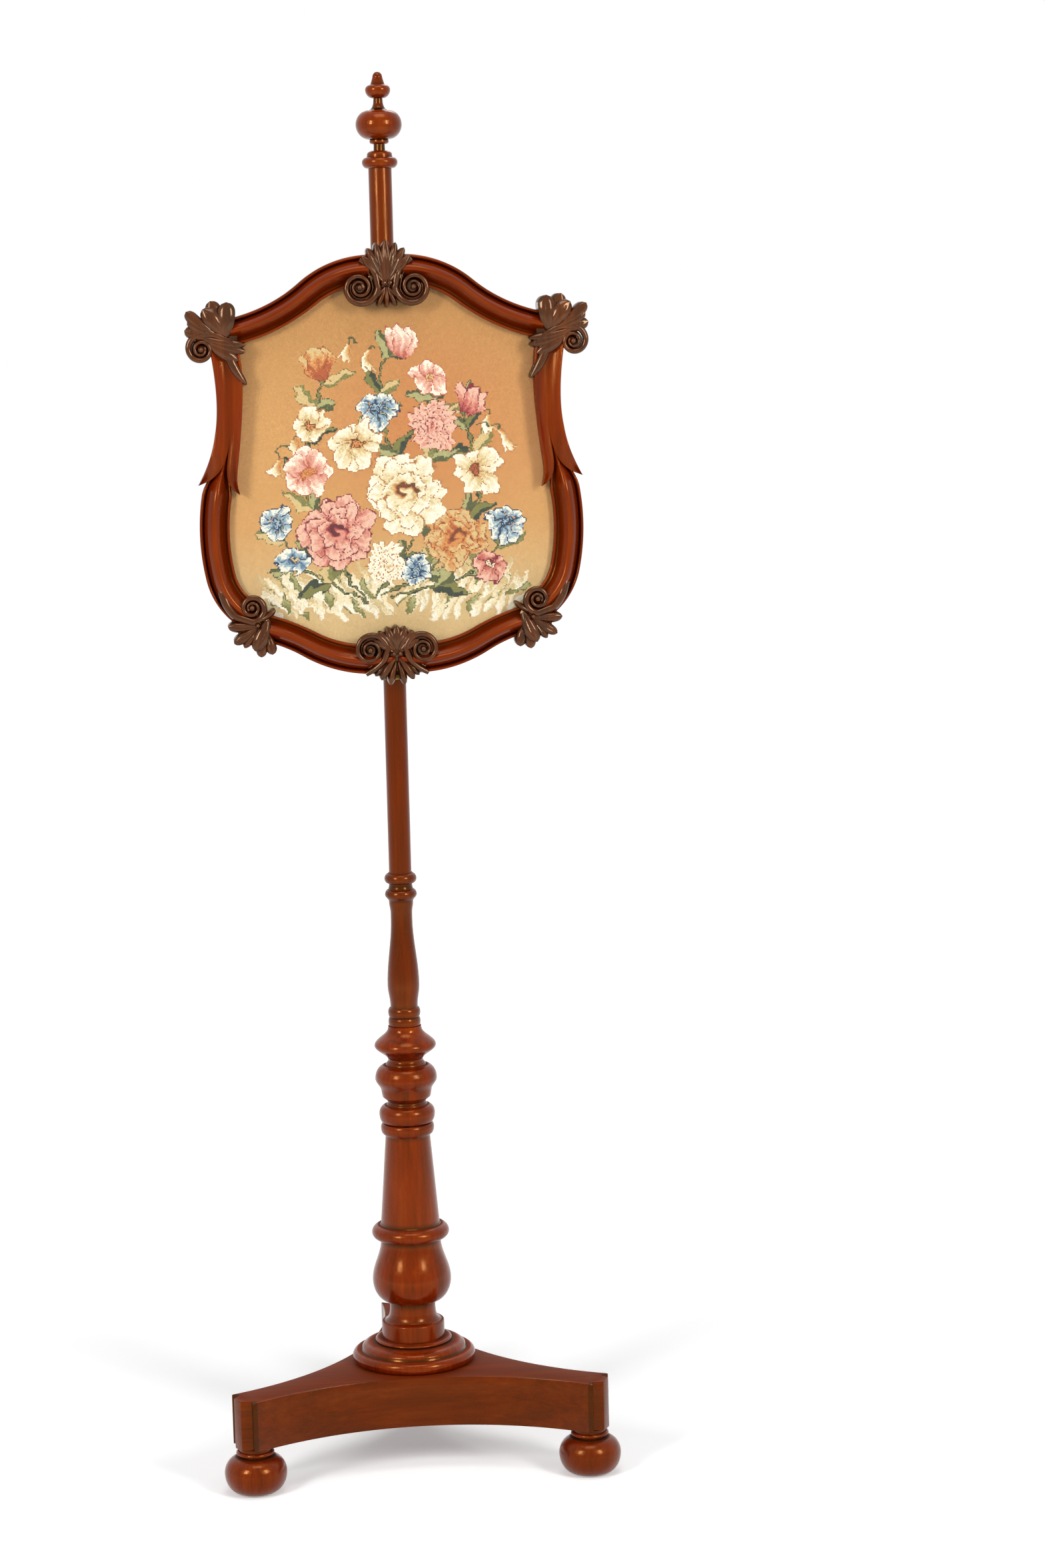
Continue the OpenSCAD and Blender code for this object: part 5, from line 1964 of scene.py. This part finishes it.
    def work(self) -> Array:
        """Works the whole design and returns the colour of each stitch.

        Returns:
            One colour for each stitch.
        """
        self._bank()
        sprays = (
            ((-30, -140), (-66, -86), (-92, -20), (-80, 50), (-64, 104)),
            ((-18, -140), (20, -80), (8, 0), (-14, 70), (10, 128)),
            ((-10, -140), (56, -96), (92, -36), (84, 30), (72, 62)), ((-34, -140), (-90, -112), (-128, -62)),
            ((0, -140), (76, -118), (124, -70)), ((20, -40), (54, 30), (40, 84)))
        for points in sprays:
            self.stem(points, 3.4, Wool.PINE)
            self.stem(points, 1.7, Wool.OLIVE)
        for number, points in enumerate(sprays):
            line = smooth_line(points)
            for k in range(5, len(line) - 2, 4):
                way = line[k + 1] - line[k - 1]
                heading = degrees(atan2(way[1], way[0]))
                for hand in (-1, 1):
                    wools = (GREEN_SHADES, PALE_GREENS, DARK_GREENS)[(k // 4 + number + (hand > 0)) % 3]
                    lean = hand * (44 + self.noise.uniform(-14, 18))
                    length, width = self.noise.uniform(24, 36), self.noise.uniform(9, 14)
                    self.leaf(tuple(line[k]), heading + lean, length, width, wools)
        self._flowers()
        self.colour *= self.noise.normal(1.0, 0.05, self.x.shape)[..., None]
        return np.clip(self.colour, 0, 1)

    def _flowers(self) -> None:
        """Works the flowers over the leaves, the far ones first."""
        for top, angle, size in (
                ((-118, 12), -104, 20), ((-100, 26), -84, 19), ((104, 52), -80, 19), ((118, 34), -66, 18),
                ((-40, 128), -110, 18), ((-20, 118), -88, 17)):
            self.stem(((top[0] * 0.8, top[1] + 4), (top[0], top[1] + 7), top), 2.0, Wool.MOSS)
            self.bell(top, angle, size, CREAM_SHADES)
        for row in (((12, 112), 84, 34, BLUSH_SHADES), ((-66, 92), 112, 32, RUST_SHADES),
                    ((78, 52), 62, 31, PINK_SHADES)):
            self.tulip(*row)
        for row in (((-122, -58), 19), ((122, -66), 19), ((-10, 58), 20)):
            self.cornflower(*row)
        self.star((-84, 44), 20, 5, CREAM_SHADES, Wool.AMBER, 14)
        self.star((44, 90), 20, 6, BLUSH_SHADES, Wool.SAND, 40)
        self.fringe((46, 40), 27, PINK_SHADES)
        self.star((92, -8), 27, 8, CREAM_SHADES, Wool.RUST, 10)
        self.star((-88, -6), 26, 7, BLUSH_SHADES, Wool.AMBER, 0)
        self.rose((66, -78), 33, RUST_SHADES, (9, 7, 5), 12)
        self.star((-36, 22), 28, 9, CREAM_SHADES, Wool.AMBER, 22)
        self.rose((-58, -70), 38, PINK_SHADES, (9, 7, 5), 30)
        self.fringe((-8, -104), 22, CREAM_SHADES)
        self.rose((14, -30), 43, CREAM_SHADES, (9, 7, 6), 4)
        self.cornflower((24, -112), 15)
        self.star((-106, -98), 17, 5, BLUE_SHADES, Wool.SAND, 6)
        self.star((104, -110), 16, 5, PINK_SHADES, Wool.CREAM, 30)

    def _bank(self) -> None:
        """Works the bank of pale grass along the bottom."""
        pale, reed = shades("SAND IVORY CREAM"), shades("OLIVE CREAM SAND")
        sage, moss = shades("SAGE IVORY SAND"), shades("MOSS OLIVE SAGE")
        for k in range(150):
            x = -132 + 264 * ((k * 0.618) % 1)
            y = -162 + 44 * ((k * 0.371) % 1) - abs(x) * 0.06
            lean = (1 if x > 0 else -1) * (14 + 40 * ((k * 0.29) % 1))
            wools = (pale, reed, pale, sage, pale, moss)[k % 6]
            self.petal((x, y), 90 - lean, 20 + 10 * ((k * 0.53) % 1), 5.0, wools, 0.8)


def panel_outline(lap: float) -> Array:
    """Outline of the panel, as far behind the sight edge as the lap says.

    Args:
        lap: Distance behind the sight edge.

    Returns:
        The outline's points.
    """
    half = []
    side = FrameLine((170.0, 116.0), -101.0, ((240.0, 32.0),))
    for line, width in ((TOP_LINE, RAIL_W), (side, RAIL_W), (STILE_LINE, STILE_W)):
        half += [p + (lap - width / 2) * left_of(h) for p, h, _ in line.stations()]
    half += [p + (RAIL_W / 2 - lap) * left_of(h) for p, h, _ in reversed(BOTTOM_LINE.stations())]
    right = np.array(half)
    return np.vstack([right, (right * (-1, 1))[::-1]])


def inside_of(x: Array, y: Array, outline: Array) -> Array:
    """Which points lie inside an outline.

    Args:
        x: Places across.
        y: Places up.
        outline: The outline's points.

    Returns:
        True for each point inside.
    """
    odd = np.zeros(x.shape, bool)
    for (x0, y0), (x1, y1) in zip(outline, np.roll(outline, -1, axis=0)):
        if y0 == y1:
            continue
        crosses = (y0 > y) != (y1 > y)
        odd ^= crosses & (x < (x1 - x0) * (y - y0) / (y1 - y0) + x0)
    return odd


@dataclass
class Panel:
    """Glass, needlework, strainer and back board."""

    pitch: float = 1.2
    canvas_v: float = 7.9
    lap: float = 6.6

    def build(self, shop: Workshop) -> None:
        """Builds the panel behind the frame.

        Args:
            shop: Trees and finishes.
        """
        shop.dress("glass", Slot.GLASS)
        for board in ("strainer", "back_board"):
            shop.dress(board, Slot.PALE_WOOD)
        self._needlework(shop)

    def _needlework(self, shop: Workshop) -> None:
        """The worked canvas, one face for each stitch.

        Args:
            shop: Trees and finishes.
        """
        outline = panel_outline(self.lap)
        low, high = outline.min(axis=0), outline.max(axis=0)
        columns, rows = (int((high[k] - low[k]) / self.pitch) + 1 for k in (0, 1))
        x = low[0] + self.pitch * (np.arange(columns) + 0.5)
        y = low[1] + self.pitch * (np.arange(rows) + 0.5)
        middle_x, middle_y = np.meshgrid(x, y)
        colours = NeedleworkPattern(middle_x, middle_y).work()
        keep = inside_of(middle_x, middle_y, outline)
        cell_y, cell_x = np.nonzero(keep)
        first, wide = cell_y * (columns + 1) + cell_x, columns + 1
        corners = np.stack([first, first + 1, first + wide + 1, first + wide], axis=1)
        used, faces = np.unique(corners, return_inverse=True)
        faces = faces.reshape(-1, 4)
        at_y, at_x = np.divmod(used, wide)
        corner_x, corner_y = low[0] + self.pitch * at_x, low[1] + self.pitch * at_y
        places = np.column_stack(on_plane(corner_x, corner_y, np.full(len(at_x), self.canvas_v)))
        mesh = new_mesh("worked_canvas", places, faces.tolist())
        layer = mesh.color_attributes.new("wool", "FLOAT_COLOR", "CORNER")
        yarns = np.repeat(np.column_stack([colours[keep], np.ones(keep.sum())]), 4, axis=0)
        layer.data.foreach_set("color", yarns.ravel())
        mesh.materials.append(shop.finishes[Slot.WOOL])
        obj = add_object("worked_needlework", mesh)
        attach(obj, Body.SCREEN.value)
        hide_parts("needlework")
        LOG.info("worked_needlework: %d stitches", len(faces))


@dataclass
class Hanging:
    """Leather bushes, brass brackets, their screws and the thumb screw."""

    slot_share: float = 0.22
    slot_depth: float = 0.6
    dome: float = 0.35
    eased: float = 0.5
    wing_r: float = 10.0
    wing_t: float = 3.0
    neck: float = 3.0
    collar_t: float = 2.0
    shank_r: float = 3.0
    collar_r: float = 5.2

    def build(self, shop: Workshop) -> None:
        """Builds the fittings at the back.

        Args:
            shop: Trees and finishes.
        """
        for node in ("bush_upper", "bush_lower"):
            shop.dress(node, Slot.LEATHER)
        for node in ("bracket_upper", "bracket_lower"):
            self._bracket(shop, node)
        self._screws(shop, "bracket_screws", 3.0, 1.4, 1.5)
        self._screws(shop, "board_screws", 2.1, 1.0, 1.0)
        self._thumb_screw(shop)

    def _bracket(self, shop: Workshop, node: str) -> None:
        """A bracket with its edges eased.

        Args:
            shop: Trees and finishes.
            node: The solid's node.
        """
        shell = bmesh.new()
        shell.from_mesh(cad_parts[node].data)
        bmesh.ops.remove_doubles(shell, verts=shell.verts, dist=SAME_PLACE)
        bmesh.ops.dissolve_limit(shell, angle_limit=radians(1), verts=shell.verts, edges=shell.edges)
        sharp = [e for e in shell.edges if e.calc_face_angle(0.0) > radians(40)]
        bmesh.ops.bevel(shell, geom=sharp, offset=self.eased * MM, segments=2, affect="EDGES", profile=0.5,
                        clamp_overlap=True)
        mesh = bpy.data.meshes.new(f"eased_{node}")
        shell.to_mesh(mesh)
        shell.free()
        shop.place(f"eased_{node}", mesh, Body.SCREEN, Slot.BRASS, (node,), 35.0)

    @staticmethod
    def _places(node: str) -> list[Vector]:
        """Middle of the outer end of each screw of a group.

        Args:
            node: The solid's node.

        Returns:
            One place for each screw.
        """
        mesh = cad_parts[node].data
        shell = bmesh.new()
        shell.from_mesh(mesh)
        bmesh.ops.remove_doubles(shell, verts=shell.verts, dist=SAME_PLACE)
        left, found = set(shell.verts), []
        while left:
            group, front = set(), [left.pop()]
            while front:
                vert = front.pop()
                group.add(vert)
                near = {e.other_vert(vert) for e in vert.link_edges} & left
                left -= near
                front += near
            spots = np.array([v.co for v in group])
            low, high = spots.min(axis=0), spots.max(axis=0)
            found.append(Vector(((low[0] + high[0]) / 2, high[1], (low[2] + high[2]) / 2)))
        shell.free()
        return found

    def _screws(self, shop: Workshop, node: str, head_r: float, head_t: float, shank_r: float) -> None:
        """Slotted screws, one at each place of a group.

        Args:
            shop: Trees and finishes.
            node: The group of solids.
            head_r: Radius of a head.
            head_t: Thickness of a head.
            shank_r: Radius of a shank.
        """
        relief = Relief(shop)
        low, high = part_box(node)
        half = (0.45, 0.7, 0.9, 0.999)
        slot = [-self.slot_share] * 2 + [self.slot_share] * 2
        x = np.array([*(-s for s in reversed(half)), *slot, *half]) * head_r
        s = np.linspace(-1.0, 1.0, 13)
        reach = np.sqrt(head_r ** 2 - x ** 2)
        flat = np.stack([np.repeat(x[:, None], 13, axis=1), reach[:, None] * s[None, :]], axis=2)
        top = -self.dome * (flat ** 2).sum(axis=2) / head_r ** 2
        top[5:7] -= self.slot_depth
        relief.add(*closed_sheet(flat, top, -head_t, np.ones_like(top)))
        relief.boss((0.0, 0.0), [(shank_r, -(high[1] - low[1]) / MM), (shank_r, -head_t)], 16)
        across, up, out = np.vstack(relief.points).T * MM
        screw = new_mesh("slotted_screw", np.column_stack([across, out, -up]), relief.faces)
        pattern = add_object("slotted_screw", screw)
        seed = seed_mesh(np.array(self._places(node)))
        mesh = shop.shape(shop.trees.screwed, seed, Slot.BRASS, Screw=pattern)
        bpy.data.objects.remove(pattern)
        shop.place(f"slotted_{node}", mesh, Body.SCREEN, Slot.BRASS, (node,), 35.0)

    def _thumb_screw(self, shop: Workshop) -> None:
        """The thumb screw: a threaded shank, a collar, a waisted neck and a dished wing.

        Args:
            shop: Trees and finishes.
        """
        low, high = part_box("thumb_screw")
        wing = high[1] / MM - self.wing_r
        collar = wing - self.wing_r - self.neck - self.collar_t
        start, r, wide = low[1] / MM, self.shank_r, self.collar_r
        after, root = collar + self.collar_t, wing - self.wing_r
        steps = [(start, r - 0.6)]
        for k in range(int(collar - start)):
            steps += [(start + k + 0.25, r), (start + k + 0.75, r - 0.45)]
        steps += [(collar, r), (collar, wide - 0.5), (collar + 0.5, wide), (after - 0.5, wide),
                  (after, wide - 0.6), (after + 0.6, r), (root + 0.2, r - 0.7), (root + 1.5, r),
                  (wing - 2.0, r - 0.6), (wing, 1.4)]
        shank, dish = Relief(shop), Relief(shop)
        shank.boss((0.0, 0.0), [(radius, place) for place, radius in steps], 32)
        half, rim = self.wing_t / 2, self.wing_r
        face = [(rim, half * 0.4), (rim * 0.93, half * 0.95), (rim * 0.72, half), (rim * 0.55, half * 0.6),
                (0.3, half * 0.6)]
        dish.boss((0.0, 0.0), [(radius, -height) for radius, height in reversed(face)] + face, 48)
        a, b = np.vstack(shank.points), np.vstack(dish.points)
        places = np.vstack([np.column_stack([a[:, 0], a[:, 2], -a[:, 1]]),
                            np.column_stack([b[:, 2], wing + b[:, 0], b[:, 1]])]) * MM
        places[:, 2] += (low[2] + high[2]) / 2
        faces = shank.faces + [tuple(i + shank.count for i in f) for f in dish.faces]
        mesh = new_mesh("winged_thumb_screw", places, faces)
        shop.place("winged_thumb_screw", mesh, Body.THUMB_SCREW, Slot.BRASS, ("thumb_screw",), 35.0)


@dataclass
class Studio:
    """Pale floor, soft lamps, surroundings and the camera."""

    camera_at: tuple[float, float, float] = (-0.250, -3.619, 1.238)
    yaw: float = 6.08
    pitch: float = 7.79
    roll: float = -1.37
    focal_px: float = 5085.0
    photo_w: int = 1568
    sensor: float = 36.0
    ambient: float = 0.27
    floor: float = 60.0

    def build(self) -> None:
        """Sets up the whole studio."""
        scene = bpy.context.scene
        scene.view_settings.view_transform = "Standard"
        self._world(scene)
        self._floor()
        for side, at, aim, size, power in (
                ("left", (-2.08, -2.16, 2.0), (0.0, 0.0, 1.0), (0.7, 1.3), 57.0),
                ("right", (1.85, -2.36, 2.0), (0.0, 0.0, 1.0), (0.7, 1.3), 55.0),
                ("top", (0.1, -1.0, 3.6), (0.0, 0.0, 0.7), (1.6, 1.2), 24.0),
                ("back", (0.5, 2.2, 3.2), (0.0, 0.0, 0.9), (1.6, 1.0), 14.0)):
            self._lamp(f"{side}_softbox", at, aim, size, power)
        self._camera(scene)

    def _world(self, scene: Scene) -> None:
        """White to the eye, in gloss and through glass, and a plain soft light for the rest.

        Args:
            scene: The scene.
        """
        world = bpy.data.worlds.new("studio")
        scene.world = world
        world.use_nodes = True
        t = NodeTree(world.node_tree)
        strength = t.math("MAXIMUM", self._seen(t), self.ambient)
        t.feed(world.node_tree.nodes["Background"], {"Color": WHITE, "Strength": strength})

    @staticmethod
    def _seen(t: NodeTree) -> Socket:
        """1 where a ray shows the background: to the eye, in gloss and through glass.

        Args:
            t: The tree.

        Returns:
            The socket.
        """
        path = t.add("ShaderNodeLightPath").outputs
        mirrored = t.math("MAXIMUM", path["Is Glossy Ray"], path["Is Transmission Ray"])
        return t.math("MAXIMUM", path["Is Camera Ray"], mirrored)

    def _floor(self) -> None:
        """A wide pale floor that glows towards white and keeps the shadow; its glow is weaker near the stand,
        a painted darkening round it.
        """
        half = self.floor / 2
        corners = [(-half, -half, 0), (half, -half, 0), (half, half, 0), (-half, half, 0)]
        mesh = new_mesh("studio_floor", corners, [(0, 1, 2, 3)])
        material, t, shader = fresh_material("pale_floor")
        place = t.add("ShaderNodeTexCoord").outputs["Object"]
        speck = t.spread(t.noise(place, 3.0), 0.3, 0.7, 0.0, 1.0)
        away = t.add("ShaderNodeVectorMath", {0: place}, operation="LENGTH").outputs["Value"]
        # The floor glows to the eye, in gloss and through glass, less near the stand: painted shade round it
        # on top of its real shadow.
        t.feed(shader, {
            "Base Color": t.mix(speck, linear("ececec"), linear("f2f2f2")),
            "Roughness": 0.9, "Specular IOR Level": 0.0, "Emission Color": WHITE,
            "Emission Strength": t.math("MULTIPLY", self._seen(t), t.spread(away, 0.35, 2.2, 0.3, 0.85))})
        mesh.materials.append(material)
        obj = add_object("studio_floor", mesh)

    @staticmethod
    def _lamp(name: str, at: tuple, aim: tuple, size: tuple[float, float], power: float) -> None:
        """Adds a rectangular soft lamp.

        Args:
            name: The lamp's name.
            at: Its place.
            aim: The place it faces.
            size: Its width and height.
            power: Its power in watts.
        """
        light = bpy.data.lights.new(name, "AREA")
        light.shape = "RECTANGLE"
        light.size, light.size_y = size
        light.energy = power
        obj = add_object(name, light)
        obj.location = at
        obj.rotation_euler = (Vector(aim) - Vector(at)).to_track_quat("-Z", "Y").to_euler()

    def _camera(self, scene: Scene) -> None:
        """Sets the camera at the photograph's viewing angle.

        Args:
            scene: The scene.
        """
        yaw, pitch, roll = (radians(a) for a in (self.yaw, self.pitch, self.roll))
        forward = Vector((sin(yaw) * cos(pitch), cos(yaw) * cos(pitch), -sin(pitch)))
        right = Vector((cos(yaw), -sin(yaw), 0.0))
        up = right.cross(forward)
        leaned = right * cos(roll) + up * sin(roll)
        upright = up * cos(roll) - right * sin(roll)
        camera = bpy.data.cameras.new("photo_camera")
        camera.sensor_fit = "HORIZONTAL"
        camera.sensor_width = self.sensor
        camera.lens = self.focal_px / self.photo_w * self.sensor
        camera.clip_end = 100.0
        obj = add_object("photo_camera", camera)
        turned = Matrix((leaned, upright, -forward)).transposed().to_4x4()
        obj.matrix_world = Matrix.Translation(self.camera_at) @ turned
        scene.camera = obj


def main() -> None:
    """Builds the dressed screen and its studio."""
    logging.basicConfig(level=logging.INFO, format="%(name)s %(message)s")
    shop = Workshop()
    Studio().build()
    for assembly in (Stand(), ScreenFrame(), Carvings(), Panel(), Hanging()):
        assembly.build(shop)


if __name__ == "__main__":
    main()
